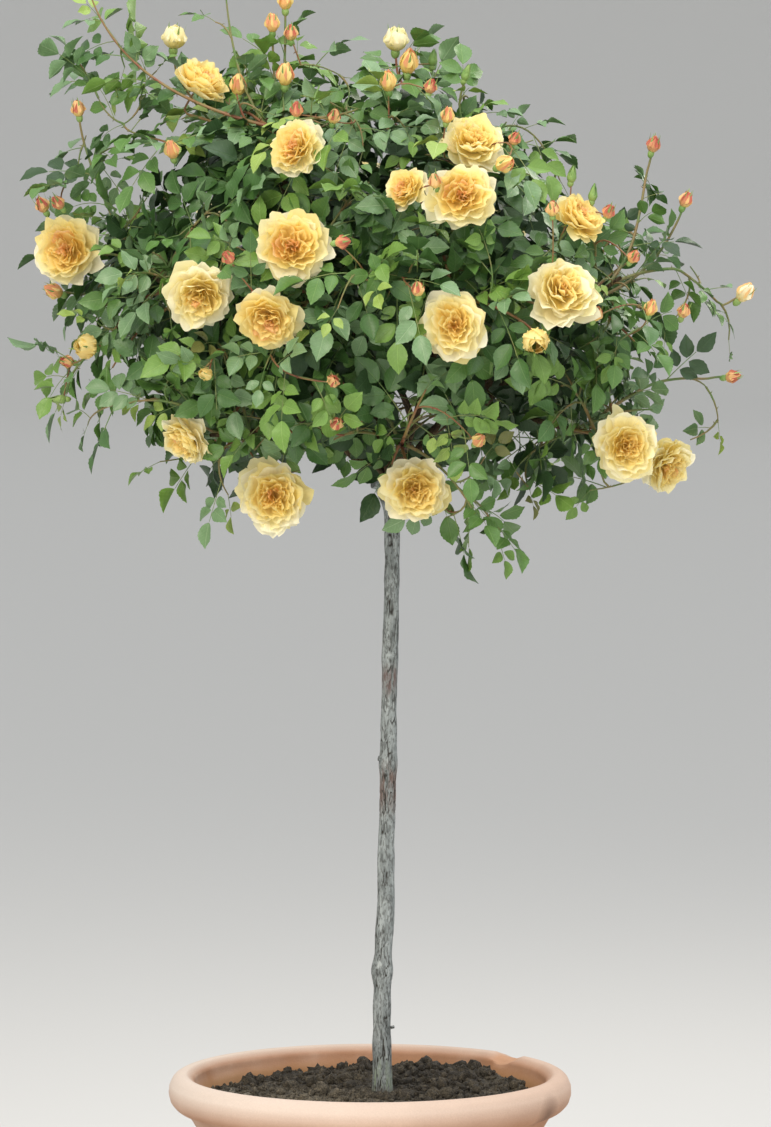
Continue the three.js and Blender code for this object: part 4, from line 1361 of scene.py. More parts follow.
def addBud(petals, greens, rng, head):
    axes = frameOf(head["faces"], rng.uniform(0, 6.28))
    outer, inner = budTones[head["colouring"]]
    closed, opening = outer is None, head["across"] >= budRule["openFrom"]
    size = head["across"] * budRule["full"]
    wide, high = budRule["wide"], budRule["blunt" if outer == budRule["redTone"] else "long"]
    if opening:
        wide, high = budRule["open"]
    ruffle, lip = (0.02, 0.12) if opening else (0, 0.02)
    count = 0 if closed else budRule["petals"] * (2 if opening else 1)
    for i in range(count):
        turn = i * math.radians(growth["turn"])
        grow = 1 - budRule["lower"] * i
        tip = (0.02, high * grow)
        if opening:
            within = i / 11
            tip = (wide * mix(0.6, 0.06, within), high * mix(0.84, 0.98, within))
        made = petal(rng, (0.05, -0.30), (wide * budRule["bulge"] * grow, -0.12), tip,
                     wide * budRule["overlap"], budRule["cup"], ruffle, lip, rng.normal(0, 5), turn)
        onTop = i < budRule["petals"] * 0.6 or rng.random() < 0.3
        tone = outer if onTop and i % 2 == 0 else inner
        petals[tone].add(made[0] * size @ axes + head["at"], made[1], made[2])
    cover = 1.6 if closed else 1.0 if opening else 0.8
    broad, low = budRule["calyx"]
    addCalyx(greens, rng, head["at"], axes, size * broad, low * size, cover, closed, size)


# The green urn under a flower and its five sepals, which lie along a bud and bend back from a bloom.
def addCalyx(greens, rng, at, axes, radius, base, cover, closed=False, size=None):
    points, faces = lathe([(r * radius, base + z * radius) for r, z in budRule["urn"]], 8)
    greens.add(points.reshape(-1, 3) @ axes + at, faces)
    long = size * budRule["sepalLong"] if size else budRule["bloomSepal"]
    if closed:
        points, faces = lathe([(r * size, z * size) for r, z in budRule["closed"]], 8)
        greens.add(points.reshape(-1, 3) @ axes + at, faces)
    for i in range(budRule["sepals"]):
        turn = i * 2 * math.pi / 5 + rng.normal(0, 0.1)
        if size:
            apart = rng.uniform(0.7, 2.4) * (0.25 if closed else 1)
            bend, tip = (radius * 1.9, base + long * 0.40), (radius * apart, base + long)
        else:
            bend, tip = (long * 0.6, base - long * 0.1), (long, base - long * rng.uniform(0.2, 0.6))
        made = petal(rng, (radius * 0.8, base), bend, tip, budRule["sepalWide"] * cover, 0.3, 0, 0,
                     rng.normal(0, 6), turn, 0.96)
        greens.add(made[0] @ axes + at, made[1])


def growFlowers():
    rng = np.random.default_rng(409)
    petals = [Gather() for _ in petalTones]
    greens = Gather()
    for shoot in shoots:
        head = shoot["head"]
        if head and head["kind"] == "bloom":
            addBloom(petals, greens, rng, head)
        elif head and head["kind"] == "bud":
            addBud(petals, greens, rng, head)
    return petals, greens


petalGathers, calyxGather = growFlowers()

foliageNodes = [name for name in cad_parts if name.startswith("foliage_")]
boughNodes = [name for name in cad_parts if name.startswith("bough_")]


# Shoots: old ones near the limbs are brown, younger ones green, the necks of flowers reddish.
def makeShoots():
    rng = np.random.default_rng(88)
    old, green, neck = Gather(), Gather(), Gather()
    for shoot in shoots:
        path, head = shoot["path"], shoot["head"]
        radii = np.linspace(*shoot["radii"], len(path))
        kind = old if shoot["order"] == 0 else green
        if shoot["order"] == 1 and rng.random() >= 0.6 or shoot["order"] == 2 and head["kind"] != "tip":
            kind = neck
        tube(kind, path, radii, 8 if shoot["order"] < 2 else 6)
        addPrickles(kind, rng, path, radii)
    return old, green, neck


# Prickles: small hooked cones, each on its own place round the shoot. One stands on each "every".
prickles = {"every": 0.022, "long": (0.0025, 0.0050), "radii": (0.0012, 0.0006, 0.0001)}


def addPrickles(gather, rng, path, radii):
    for _ in range(int(lengthOf(path) / prickles["every"])):
        share = rng.uniform(0.05, 0.7)
        place, way = walk(path, share)
        out = asideOf(way, rng.uniform(0, 6.28))
        radius = float(np.interp(share, (0, 1), (radii[0], radii[-1])))
        long = rng.uniform(*prickles["long"])
        foot, bend = place + out * radius * 0.6, place + out * (radius + long * 0.5) - way * long * 0.1
        line = np.array([foot, bend, place + out * (radius + long) - way * long * 0.45])
        tube(gather, line, prickles["radii"], 4)


oldShoots, greenShoots, neckShoots = makeShoots()


# Bark: rings round a limb with lengthwise cracks, lumps and knots. The cracks are kept as "hollow".
# Scales are noise cells a metre, so the cracks are long and narrow.
barkRelief = {
    "cracks": (430, 430, 62),
    "fineCracks": (760, 760, 110),
    "breaks": (95, 95, 40),
    "lumps": 34,
    "fineShare": 0.30,
    # ring step, sides, crack and lump of the cut stubs and of the boughs
    "stubs": (0.0012, 20, 0.0008, 0.0010),
    "boughs": (0.003, 18, 0.0007, 0.0007),
    # swelling at a bough's foot, and the share of its length it fades over
    "boughFoot": (0.35, 0.05),
}


def barkLimb(gather, line, radii, sides, crack, lump, seed):
    looks = ringsAlong(line, sides)
    base = line[:, None, :] + looks * radii[:, None, None]
    flat = base.reshape(-1, 3)
    streaks = noiseAt(flat * barkRelief["cracks"], seed)
    thin = noiseAt(flat * barkRelief["fineCracks"], seed + 1)
    broken = noiseAt(flat * barkRelief["breaks"], seed + 2)
    cracks = np.clip(1 - np.abs(2 * streaks - 1) * 3.6, 0, 1) ** 1.4 * np.clip(broken * 3.4 - 1.1, 0, 1)
    fineCracks = np.clip(1 - np.abs(2 * thin - 1) * 2.6, 0, 1) ** 1.6
    lumps = noiseAt(flat * barkRelief["lumps"], seed + 3) - 0.5
    depth = lumps * 2 * lump - cracks * crack - fineCracks * crack * barkRelief["fineShare"]
    points = flat + looks.reshape(-1, 3) * depth[:, None]
    gather.add(points, skin(len(line), sides, True), None, np.clip(cracks + fineCracks * 0.35, 0, 1))


def resampled(line, step):
    stretches = np.concatenate([[0], np.cumsum(np.linalg.norm(np.diff(line, axis=0), axis=1))])
    places = np.linspace(0, stretches[-1], max(3, int(stretches[-1] / step)))
    return np.stack([np.interp(places, stretches, line[:, i]) for i in range(3)], -1)


def closeEnd(gather, centre, ringPoints):
    rows = [mix(ringPoints, centre, share) for share in (0, 0.35, 0.7, 0.99)]
    gather.add(np.vstack(rows), skin(4, len(ringPoints), True), None, np.full(4 * len(ringPoints), 0.4))


def makeTrunk():
    gather = Gather()
    line = resampled(trunkLine, trunk["ring"])
    radii = trunkRadius(line[:, 2])
    toTop = np.clip((line[-1, 2] - line[:, 2]) / trunk["knob"], 0, 1)
    radii = radii * np.sqrt(np.clip(1 - (1 - toTop) ** 2, 0.02, 1))
    barkLimb(gather, line, radii, trunk["sides"], trunk["crack"], trunk["lump"], 5)
    step, sides, crack, lump = barkRelief["stubs"]
    for height, turn, long, radius in trunk["stubs"]:
        out = heading(turn, 14)
        at = np.array([np.interp(height, line[:, 2], line[:, i]) for i in range(2)] + [height])
        reach = float(trunkRadius(height))
        stub = resampled(np.array([at + out * reach * 0.4, at + out * (reach + long)]), step)
        sizes = radius * (1 + 0.25 * np.linspace(1, 0, len(stub)) ** 2)
        barkLimb(gather, stub, sizes, sides, crack, lump, 30 + int(height * 100))
        ring = gather.points[-1][-sides:]
        closeEnd(gather, ring.mean(0) + out * 0.0006, ring)
    return gather


def makeBoughPiece():
    gather = Gather()
    step, *relief = barkRelief["boughs"]
    swell, fade = barkRelief["boughFoot"]
    for i, bough in enumerate(boughs.values()):
        line = resampled(bough["points"], step)
        swollen = 1 + swell * np.exp(-np.linspace(0, 1, len(line)) / fade)
        barkLimb(gather, line, np.linspace(*bough["size"], len(line)) * swollen, *relief, 60 + i)
    return gather


trunkGather, boughGather = makeTrunk(), makeBoughPiece()


# Pot: a thrown wall that flares into a thick rolled rim, with a chip at its back right.
pot = {
    "outline": [(0, 0), (0.140, 0), (0.146, 0.006), (0.243, 0.372), (0.2625, 0.4135), (0.288, 0.455)],
    "rim": {"middle": 0.2955, "height": 0.487, "halfWide": 0.021, "halfTall": 0.028,
            "from": -70, "to": 170,
            # the firm inner edge: how far it stands in, and where and how wide on the roll
            "lip": 0.0022, "lipAt": 2.45, "lipWide": 0.16},
    "inside": [(0.2635, 0.466), (0.220, 0.372), (0.1308, 0.030), (0, 0.030)],
    "sides": 160,
    "holes": (0.010, 0.082, 3),
    # the chip's place and half size, the height it reaches down to, and over what height it sets in
    "chip": {"turn": 41, "ring": 0.292, "half": (0.031, 0.020), "deep": 0.007,
             "above": 0.495, "soft": 0.012},
    "bump": {"turn": -17, "height": 0.486, "high": 0.0022, "wide": 0.009, "ring": 0.315, "beyond": 0.30},
    # lengths of the profile's stretches, outside and inside
    "steps": (0.007, 0.008),
    "wobble": 0.0009,
    # the rings left by throwing: radians a metre of height, and depth
    "throwing": (520, 0.00035),
}


def makePot():
    rim = pot["rim"]
    turns = np.radians(np.linspace(rim["from"], rim["to"], 26))
    lips = rim["lip"] * np.exp(-((turns - rim["lipAt"]) / rim["lipWide"]) ** 2)
    roll = np.stack([rim["middle"] + rim["halfWide"] * np.cos(turns) - lips,
                     rim["height"] + rim["halfTall"] * np.sin(turns)], -1)
    outside = np.array(pot["outline"])
    inside = finer([roll[-1], *pot["inside"]], pot["steps"][1])
    profile = np.vstack([finer(outside, pot["steps"][0]), roll, inside[1:]])
    points, faces = lathe(profile, pot["sides"])
    flat = points.reshape(-1, 3)
    out = np.linalg.norm(flat[:, :2], axis=1)
    looks = flat * (1, 1, 0) / np.maximum(out, 1e-6)[:, None]
    around = np.arctan2(flat[:, 1], flat[:, 0])
    lumps = (noiseAt(flat * 9, 3) - 0.5) * 2 * pot["wobble"]
    pace, deep = pot["throwing"]
    rings = np.sin(flat[:, 2] * pace + 3 * noiseAt(flat * 6, 4)) * deep
    shift = np.where(out > 0.05, lumps + rings * (flat[:, 2] > 0.02), 0)
    flat = flat + looks * shift[:, None]
    bump = pot["bump"]
    along = (around - math.radians(bump["turn"])) * bump["ring"]
    near = along ** 2 + (flat[:, 2] - bump["height"]) ** 2
    raised = bump["high"] * np.exp(-near / bump["wide"] ** 2) * (out > bump["beyond"])
    flat = flat + looks * raised[:, None]
    # the chip: a shallow shell-shaped hollow with a broken edge
    chip = pot["chip"]
    along = (around - math.radians(chip["turn"])) * chip["ring"]
    inward = out - chip["ring"]
    ragged = 1 + 0.30 * (noiseAt(flat * 90, 9) - 0.5)
    place = (along / chip["half"][0]) ** 2 + (inward / chip["half"][1]) ** 2
    hollow = np.clip((1 - place * ragged) * 3.0, 0, 1) * (flat[:, 2] > chip["above"])
    depth = chip["deep"] * (0.75 + 0.5 * noiseAt(flat * 160, 10))
    flat[:, 2] -= hollow * depth * np.clip((flat[:, 2] - chip["above"]) / chip["soft"], 0, 1)
    gather = Gather()
    gather.add(flat, faces, None, hollow)
    return gather


# Soil: crumbly compost, heaped a little and banked up at the right back, with loose crumbs.
soil = {
    # radius and height of its edge
    "edge": (0.2630, 0.466),
    "top": 0.477,
    "under": [(0.2620, 0.462), (0.2190, 0.372), (0.1300, 0.0304), (0.001, 0.0304)],
    "sides": 260,
    "rings": 78,
    # how high it is banked up, and towards which turn
    "bank": (0.012, 53),
    # heaps: place, height, reach
    "heaps": [((0.150, 0.105), 0.010, 0.060), ((0.085, 0.165), 0.008, 0.050),
              ((-0.085, 0.140), 0.008, 0.060), ((-0.150, 0.060), 0.005, 0.045)],
    # level of the flat seat round the trunk, and how far it reaches
    "seat": 0.4797,
    "seatReach": 0.05,
    # lumps: their height, and noise cells a metre
    "rough": ((0.0050, 38), (0.0036, 95), (0.0018, 260)),
    "crumbs": 2500,
    # crumbs that hide the trunk's cut foot: number, distance from its middle, and size
    "footCrumbs": 260,
    "footRing": (0.0185, 0.030),
    "footSizes": (0.0030, 0.0068),
    "clods": 130,
    "clodSizes": (0.006, 0.0145),
    "clodsClear": 0.034,
    "crumbSizes": (0.0018, 0.0085),
    # how far out both lie, as a share of the edge's radius, and how flat or long they are
    "crumbsWithin": 0.965,
    "clodsWithin": 0.93,
    "crumbSquash": (0.5, 1.2),
    "clodSquash": (0.6, 1.15),
}


def soilHeight(points):
    out = np.linalg.norm(points[:, :2], axis=1)
    flat = points * (1, 1, 0)
    height, turn = soil["bank"]
    bank = height * np.maximum(0, points[:, :2] @ heading(turn, 0)[:2] / soil["edge"][0])
    lumps = sum(size * 2 * (noiseAt(flat * scale, 20 + i) - 0.5)
                for i, (size, scale) in enumerate(soil["rough"]))
    high = soil["top"] + bank + lumps
    for place, height, reach in soil["heaps"]:
        away = np.linalg.norm(points[:, :2] - np.array(place), axis=1)
        high = high + height * np.exp(-(away / reach) ** 2)
    fromFoot = np.linalg.norm(points[:, :2] - trunkFoot, axis=1)
    seat = np.clip(1.3 - fromFoot / soil["seatReach"], 0, 1)
    high = mix(high, soil["seat"] + lumps * 0.35 + 0.001, seat)
    edge = np.clip((out - soil["edge"][0] * 0.90) / (soil["edge"][0] * 0.10), 0, 1)
    return mix(high, soil["edge"][1] + lumps * 0.5 + bank * 0.6, edge ** 2)


def makeSoil():
    gather = Gather()
    rings = np.linspace(0.0005, soil["edge"][0], soil["rings"])
    points, faces = lathe([*[(r, soil["top"]) for r in rings], *soil["under"]], soil["sides"])
    flat = points.reshape(-1, 3)
    topCount = len(rings) * soil["sides"]
    flat[:topCount, 2] = soilHeight(flat[:topCount])
    gather.add(flat, faces[:, ::-1])
    return gather


def ballShape(cuts):
    ball = bmesh.new()
    bmesh.ops.create_icosphere(ball, subdivisions=cuts, radius=1)
    corners = np.array([vertex.co[:] for vertex in ball.verts])
    faces = np.array([[vertex.index for vertex in face.verts] for face in ball.faces])
    ball.free()
    return corners, faces


# Level places from their distances out and their angles.
def strewn(out, turns):
    return np.stack([out * np.cos(turns), out * np.sin(turns), np.zeros(len(out))], -1)


# Crumbs are squashed, dented balls. Clods are larger, rougher ones, mostly at the back and right.
def makeCrumbs():
    rng = np.random.default_rng(55)
    corners, faces = ballShape(1)
    gather = Gather()
    count = soil["crumbs"]
    out = soil["edge"][0] * soil["crumbsWithin"] * np.sqrt(rng.random(count))
    places = strewn(out, rng.uniform(0, 2 * math.pi, count))
    out = rng.uniform(*soil["footRing"], soil["footCrumbs"])
    foot = strewn(out, rng.uniform(0, 2 * math.pi, soil["footCrumbs"]))
    places = np.vstack([places, foot + (*trunkFoot, 0)])
    places[:, 2] = soilHeight(places)
    low, high = soil["crumbSizes"]
    sizes = low + (high - low) * rng.random(len(places)) ** 3.2
    sizes[count:] = rng.uniform(*soil["footSizes"], soil["footCrumbs"])
    for place, size in zip(places, sizes):
        shape = corners * rng.uniform(*soil["crumbSquash"], 3)
        shape = shape * (1 + rng.normal(0, 0.20, (len(corners), 1)))
        gather.add(shape * size + place + up * size * 0.25, faces)
    corners, faces = ballShape(2)
    for i in range(soil["clods"]):
        reach = soil["edge"][0] * soil["clodsWithin"] * math.sqrt(rng.random())
        turn = rng.uniform(0, 360) if i % 3 else rng.normal(soil["bank"][1], 60)
        place = heading(turn, 0) * reach
        size = rng.uniform(*soil["clodSizes"])
        if np.linalg.norm(place[:2] - trunkFoot) < soil["clodsClear"]:
            continue
        place[2] = soilHeight(place[None])[0] + size * 0.15
        rough = noiseAt(corners * 1.9 + i * 7.3, 70) + 0.9 * noiseAt(corners * 5.2 + i * 3.1, 71)
        shape = corners * rng.uniform(*soil["clodSquash"], 3) * (0.05 + 0.95 * rough)[:, None]
        gather.add(shape * size + place, faces)
    return gather


potGather, soilGather, crumbGather = makePot(), makeSoil(), makeCrumbs()
print("pot, soil and limbs shaped")


# Materials. A surface is given by its roughness and specular level, a noise by its scale, detail and
# roughness, and a relief by its depth in metres and its strength.

# Fired earthenware, thrown and unglazed: matt, warm inside, dry and chalky pale on the rim.
clay = {
    "surface": (0.86, 0.32),
    "clouds": (7.0, 7.0, 0.6),
    "drifts": (3.4, 5.0, 0.65),
    "grain": (420.0, 3.0),
    "body": [(0.30, "#a37556"), (0.52, "#b18568"), (0.72, "#bf987e")],
    # dry salts: where the rim begins by height and radius, and how thick they lie from left to right,
    # thinner on the right as painted shade; and how thick in drifts down the outside
    "salts": "#d6c7ba",
    "rimHeight": (0.462, 0.500),
    "rimRadius": (0.276, 0.290),
    "saltsAndShade": (-0.28, 0.30, 0.92, 0.50),
    "drifting": (0.44, 0.68, 0.0, 0.34),
    # a damp stain on the right of the rim
    "damp": "#6b5142",
    "stain": ((0.276, -0.146, 0.470), 0.036, 0.006, 1.5),
    # the inside of the rim by radius and height, and how high dirt from the soil has washed
    "inside": "#a1774c",
    "insideShare": 0.70,
    "withinRadius": (0.277, 0.270),
    "aboveHeight": (0.425, 0.440),
    "dirt": "#54402f",
    "dirtHeight": (0.487, 0.468),
    # fresh clay in the chip
    "fresh": "#ba9072",
    "specks": (0.0, 1.0, 0.90, 1.08),
    "relief": (0.0010, 0.45),
}


def terracotta():
    material, tree, surface = startMaterial("terracotta_unglazed", *clay["surface"])
    place, parts = placeOn(tree)
    level = addNode(tree, "ShaderNodeVectorMath", {0: place, 1: (1, 1, 0)}, operation="MULTIPLY")
    out = addNode(tree, "ShaderNodeVectorMath", {0: level.outputs[0]}, operation="LENGTH")
    out = out.outputs["Value"]
    clouds = addNoise(tree, place, *clay["clouds"])
    drifts = addNoise(tree, place, *clay["drifts"])
    grain = addNoise(tree, place, *clay["grain"])
    color = addRamp(tree, clouds, clay["body"])
    rim = [addRange(tree, parts["Z"], *clay["rimHeight"]), addRange(tree, out, *clay["rimRadius"])]
    # the salts thin out to the right, which paints shade on the side away from the light
    pale = times(tree, *rim, addRange(tree, parts["X"], *clay["saltsAndShade"]))
    salts = addMath(tree, "MAXIMUM", pale, addRange(tree, drifts, *clay["drifting"]))
    color = paintOver(tree, color, salts, clay["salts"])
    stain = times(tree, addSpot(tree, place, *clay["stain"]), clouds)
    color = paintOver(tree, color, stain, clay["damp"])
    within = addRange(tree, out, *clay["withinRadius"])
    inside = times(tree, within, addRange(tree, parts["Z"], *clay["aboveHeight"]))
    dirt = times(tree, inside, addRange(tree, parts["Z"], *clay["dirtHeight"]), drifts)
    color = paintOver(tree, color, dirt, clay["dirt"])
    color = paintOver(tree, color, times(tree, inside, clay["insideShare"]), clay["inside"])
    color = paintOver(tree, color, hollowOf(tree), clay["fresh"])
    color = shadeColor(tree, color, addRange(tree, grain, *clay["specks"]))
    finishMaterial(tree, surface, color, grain, *clay["relief"])
    return material


# Moist composted bark and loam, raked loose: nearly black, dry brown crumbs on top, and painted shade in the
# hollows of its fine relief with painted light on its tops.
earth = {
    "surface": (0.78, 0.34),
    "lumps": (85.0, 8.0, 0.7),
    "wide": (11.0, 3.0),
    "fine": (420.0, 4.0),
    "body": [(0.32, "#1b1813"), (0.50, "#373127"), (0.66, "#5a5142"), (0.80, "#8d836f")],
    "dry": "#665c49",
    "dryShare": (0.54, 0.74, 0.0, 0.5),
    # spots broken up by the lumps: the front left has dried out, and pale salts crust by the left wall
    "spots": [("#857b68", ((-0.12, -0.10, 0.476), 0.20, 0.06, 0.9)),
              ("#b5b1a6", ((-0.232, -0.040, 0.477), 0.052, 0.012, 1.5))],
    # the fine noise that raises the relief also darkens its hollows and lightens its tops: painted shade and
    # painted light
    "shade": (0.36, 0.62, 0.35, 1.35),
    "relief": (0.0040, 0.9),
}


def compost():
    material, tree, surface = startMaterial("compost_loose", *earth["surface"])
    place, _ = placeOn(tree)
    lumps = addNoise(tree, place, *earth["lumps"])
    wide = addNoise(tree, place, *earth["wide"])
    fine = addNoise(tree, place, *earth["fine"])
    color = addRamp(tree, lumps, earth["body"])
    color = paintOver(tree, color, addRange(tree, wide, *earth["dryShare"]), earth["dry"])
    for tint, spot in earth["spots"]:
        color = paintOver(tree, color, times(tree, addSpot(tree, place, *spot), lumps), tint)
    # painted shade in the hollows of the fine relief, and painted light on its tops
    color = shadeColor(tree, color, addRange(tree, fine, *earth["shade"]))
    finishMaterial(tree, surface, color, fine, *earth["relief"])
    return material


# Old bark that has weathered outdoors: silver-grey plates over dark brown cracks, with pale lichen.
bark = {
    "surface": (0.9, 0.25),
    # the noises' scales grow with each bark's own scale. Streaks and flecks are drawn out upright
    "streaks": (150.0, 6.0, 0.66),
    "streaksLong": (1, 1, 0.13),
    "patches": (26.0, 5.0),
    "spots": (95.0, 3.0),
    "flecks": (330.0, 3.0),
    "flecksLong": (1, 1, 0.38),
    "plateStops": (0.28, 0.48, 0.70),
    "weathered": (0.50, 0.68, 0.0, 0.6),
    "spotted": (0.58, 0.72, 0.0, 0.4),
    # short dark flecks, crowded in some places
    "crowd": (0.22, 0.36),
    "flecked": (0.0, 0.05, 0.0, 0.50),
    # single patches: how much of one is full, and how the streaks tear it
    "patchCore": 0.4,
    "torn": (0.44, 0.56, 0.0, 0.85),
    "cracked": (0.18, 0.75),
    # splashed and damp where it leaves the soil
    "splashed": "#453c32",
    "splashShare": 0.85,
    "relief": (0.0012, 0.7),
}
trunkBark = {
    "name": "bark_weathered", "scale": 1.0, "cracks": "#35332f", "lichen": "#b6bcba",
    "plates": ("#5b605f", "#838988", "#abb1b0"), "weather": "#989e9d",
    # place, reach and colour of each single patch
    "patches": [((0.030, -0.012, 1.135), 0.030, "#5d4540"), ((0.028, -0.014, 0.965), 0.050, "#66524a"),
                ((0.008, -0.012, 0.505), 0.045, "#7f8c74"), ((0.012, -0.0165, 0.676), 0.0085, "#26211c"),
                ((0.013, -0.0165, 0.688), 0.0075, "#b4b9b6")],
    # heights between which the foot is splashed
    "foot": (0.496, 0.481),
}
caneBark = {
    "name": "cane_old", "scale": 1.6, "cracks": "#1c1510", "lichen": "#6d6a4c",
    "plates": ("#2d231a", "#4a3a2a", "#64543c"), "weather": "#55502f",
    "patches": [], "foot": None,
}


def oldBark(look):
    material, tree, surface = startMaterial(look["name"], *bark["surface"])
    place, parts = placeOn(tree)
    scale, *fineness = bark["streaks"]
    upright = stretched(tree, place, bark["streaksLong"])
    streaks = addNoise(tree, upright, scale * look["scale"], *fineness)
    scale, detail = bark["patches"]
    patches = addNoise(tree, place, scale * look["scale"], detail)
    spots = addNoise(tree, place, *bark["spots"])
    flecks = addNoise(tree, stretched(tree, place, bark["flecksLong"]), *bark["flecks"])
    color = addRamp(tree, streaks, list(zip(bark["plateStops"], look["plates"])))
    color = paintOver(tree, color, addRange(tree, patches, *bark["weathered"]), look["weather"])
    color = paintOver(tree, color, addRange(tree, spots, *bark["spotted"]), look["lichen"])
    fleck = addMath(tree, "SUBTRACT", addMath(tree, "MULTIPLY_ADD", patches, *bark["crowd"]), flecks)
    color = paintOver(tree, color, addRange(tree, fleck, *bark["flecked"]), look["cracks"])
    for spot, reach, tint in look["patches"]:
        near = addSpot(tree, place, spot, reach, reach * bark["patchCore"])
        torn = addRange(tree, streaks, *bark["torn"])
        color = paintOver(tree, color, times(tree, near, torn), tint)
    color = paintOver(tree, color, addRange(tree, hollowOf(tree), *bark["cracked"]), look["cracks"])
    if look["foot"]:
        splash = addRange(tree, parts["Z"], *look["foot"], 0.0, bark["splashShare"])
        color = paintOver(tree, color, splash, bark["splashed"])
    finishMaterial(tree, surface, color, streaks, *bark["relief"])
    return material


# Young rose wood: a smooth waxy skin, green in the shade and flushed red where the sun reaches.
wood = {"surface": (0.52, 0.4), "patches": (34.0, 4.0), "stops": (0.38, 0.62), "relief": (0.0006, 0.3)}


def youngWood(name, *colors):
    material, tree, surface = startMaterial(name, *wood["surface"])
    patches = addNoise(tree, placeOn(tree)[0], *wood["patches"])
    color = addRamp(tree, patches, list(zip(wood["stops"], colors)))
    finishMaterial(tree, surface, color, patches, *wood["relief"])
    return material


# Rose leaf: a thin matt blade with a little wax, sunken veins and a paler midrib.
blade = {
    # side veins: how many, how far they slant forward, and their width and strength
    "veins": 8.0,
    "slant": -0.62,
    "sideVein": (0.07, 0.0, 0.0, 0.55),
    "midrib": (0.022, 0.006),
    "veinShare": 0.55,
    "mottles": (9.0, 4.0),
    "mottled": (0.0, 1.0, 0.82, 1.14),
    "relief": (0.0006, 0.6),
}


def leafSkin(name, body, vein, roughness):
    material, tree, surface = startMaterial(name, roughness)
    places, parts = placeOn(tree, mapped=True)
    aside = addMath(tree, "ABSOLUTE", addMath(tree, "SUBTRACT", parts["X"], 0.5))
    along = addMath(tree, "ADD", parts["Y"], times(tree, aside, blade["slant"]))
    wave = addMath(tree, "PINGPONG", times(tree, along, blade["veins"]), 0.5)
    side = addRange(tree, wave, *blade["sideVein"])
    veins = addMath(tree, "MAXIMUM", side, addRange(tree, aside, *blade["midrib"]))
    color = blendColors(tree, times(tree, veins, blade["veinShare"]), linear(body), linear(vein))
    mottles = addNoise(tree, places, *blade["mottles"])
    color = shadeColor(tree, color, addRange(tree, mottles, *blade["mottled"]))
    finishMaterial(tree, surface, color, addMath(tree, "SUBTRACT", 1.0, veins), *blade["relief"])
    return material


# Rose petal: a soft thin sheet that lets light through, warmer towards its foot, paler at its edge.
sheet = {
    "surface": (0.62, 0.25),
    "stops": (0.12, 0.50, 0.90),
    # fine lines that fan out from the foot
    "fan": (34, 2.2, 1),
    "lines": (1.0, 3.0),
    "lined": (0.0, 1.0, 0.92, 1.05),
    "relief": (0.0005, 0.35),
    "through": 0.42,
}


def petalSkin(name, *colors):
    material, tree, surface = startMaterial(name, *sheet["surface"])
    places, parts = placeOn(tree, mapped=True)
    color = addRamp(tree, parts["Y"], list(zip(sheet["stops"], colors)))
    lines = addNoise(tree, stretched(tree, places, sheet["fan"]), *sheet["lines"])
    color = shadeColor(tree, color, addRange(tree, lines, *sheet["lined"]))
    finishMaterial(tree, surface, color, lines, *sheet["relief"])
    through = addNode(tree, "ShaderNodeBsdfTranslucent", {"Color": color})
    both = addNode(tree, "ShaderNodeMixShader",
                   {0: sheet["through"], 1: surface.outputs[0], 2: through.outputs[0]})
    tree.links.new(both.outputs[0], tree.nodes["Material Output"].inputs["Surface"])
    return material


# Blade, veins and roughness of each leaf colour, and foot, body and edge of each petal colour.
leafPaints = {
    "leafShade": ("#2c4725", "#466338", 0.50), "leafDeep": ("#3f632e", "#66854b", 0.46),
    # the pale grey-blue blades are painted sheen, standing in for the sky's reflection
    "leafMid": ("#507534", "#7b9c55", 0.42), "leafBlue": ("#67865a", "#9bb489", 0.38),
    "leafGrass": ("#66893a", "#91b05f", 0.44), "leafFresh": ("#859e48", "#adbe74", 0.48),
    "leafBronze": ("#6c7038", "#86894c", 0.46),
}
petalPaints = {
    "petalCream": ("#f9ebac", "#fbf0be", "#fffade"),
    "petalLemon": ("#f9e78e", "#fbeba0", "#fdf4c2"),
    "petalButter": ("#f9e17e", "#fbe58a", "#fdeeaa"),
    "petalGold": ("#f9dc7c", "#fbe188", "#fce79c"),
    "petalApricot": ("#fade8c", "#fbdc90", "#fbd298"),
    "petalAmber": ("#f7d988", "#f7ca86", "#eba780"),
    "petalRed": ("#ebc586", "#e4a67c", "#c76d5c"),
}


# Pieces

def makeLeafPieces():
    for color, name in enumerate(leafColors):
        gather = Gather()
        for kind, (points, faces, maps) in enumerate(shadeLeaflets if color == 0 else leaflets):
            rows = [row for row in leafRows if row[5] == color and row[4] == kind]
            for start, way, look, length, _, _ in rows:
                side = np.cross(way, look)
                turned = points[:, :1] * side + points[:, 1:2] * way + points[:, 2:] * look
                gather.add(start + turned * length, faces, maps)
        material = leafSkin(name + "_blade", *leafPaints[name])
        if gather.count:
            makePiece("leaves_" + name[4:].lower(), gather, material, foliageNodes,
                      mapped=True)


def makePetalPieces():
    for gather, name in zip(petalGathers, petalTones):
        if gather.count:
            material = petalSkin(name + "_soft", *petalPaints[name])
            makePiece("petals_" + name[5:].lower(), gather, material, foliageNodes, mapped=True)


# The drain holes are cut out of the pot.
def cutHoles(piece):
    radius, ring, count = pot["holes"]
    for i in range(count):
        cutter = bpy.data.meshes.new("cutter")
        shape = bmesh.new()
        bmesh.ops.create_cone(shape, cap_ends=True, segments=24, radius1=radius, radius2=radius,
                              depth=0.12)
        bmesh.ops.translate(shape, verts=shape.verts, vec=heading(360 * i / count, 0) * ring)
        shape.to_mesh(cutter)
        shape.free()
        cutterObject = bpy.data.objects.new("cutter", cutter)
        bpy.context.scene.collection.objects.link(cutterObject)
        modifier = piece.modifiers.new("hole", "BOOLEAN")
        modifier.object = cutterObject
        modifier.solver = "EXACT"
        depsgraph = bpy.context.evaluated_depsgraph_get()
        cut = bpy.data.meshes.new_from_object(piece.evaluated_get(depsgraph))
        piece.modifiers.clear()
        piece.data = cut
        bpy.data.objects.remove(cutterObject)


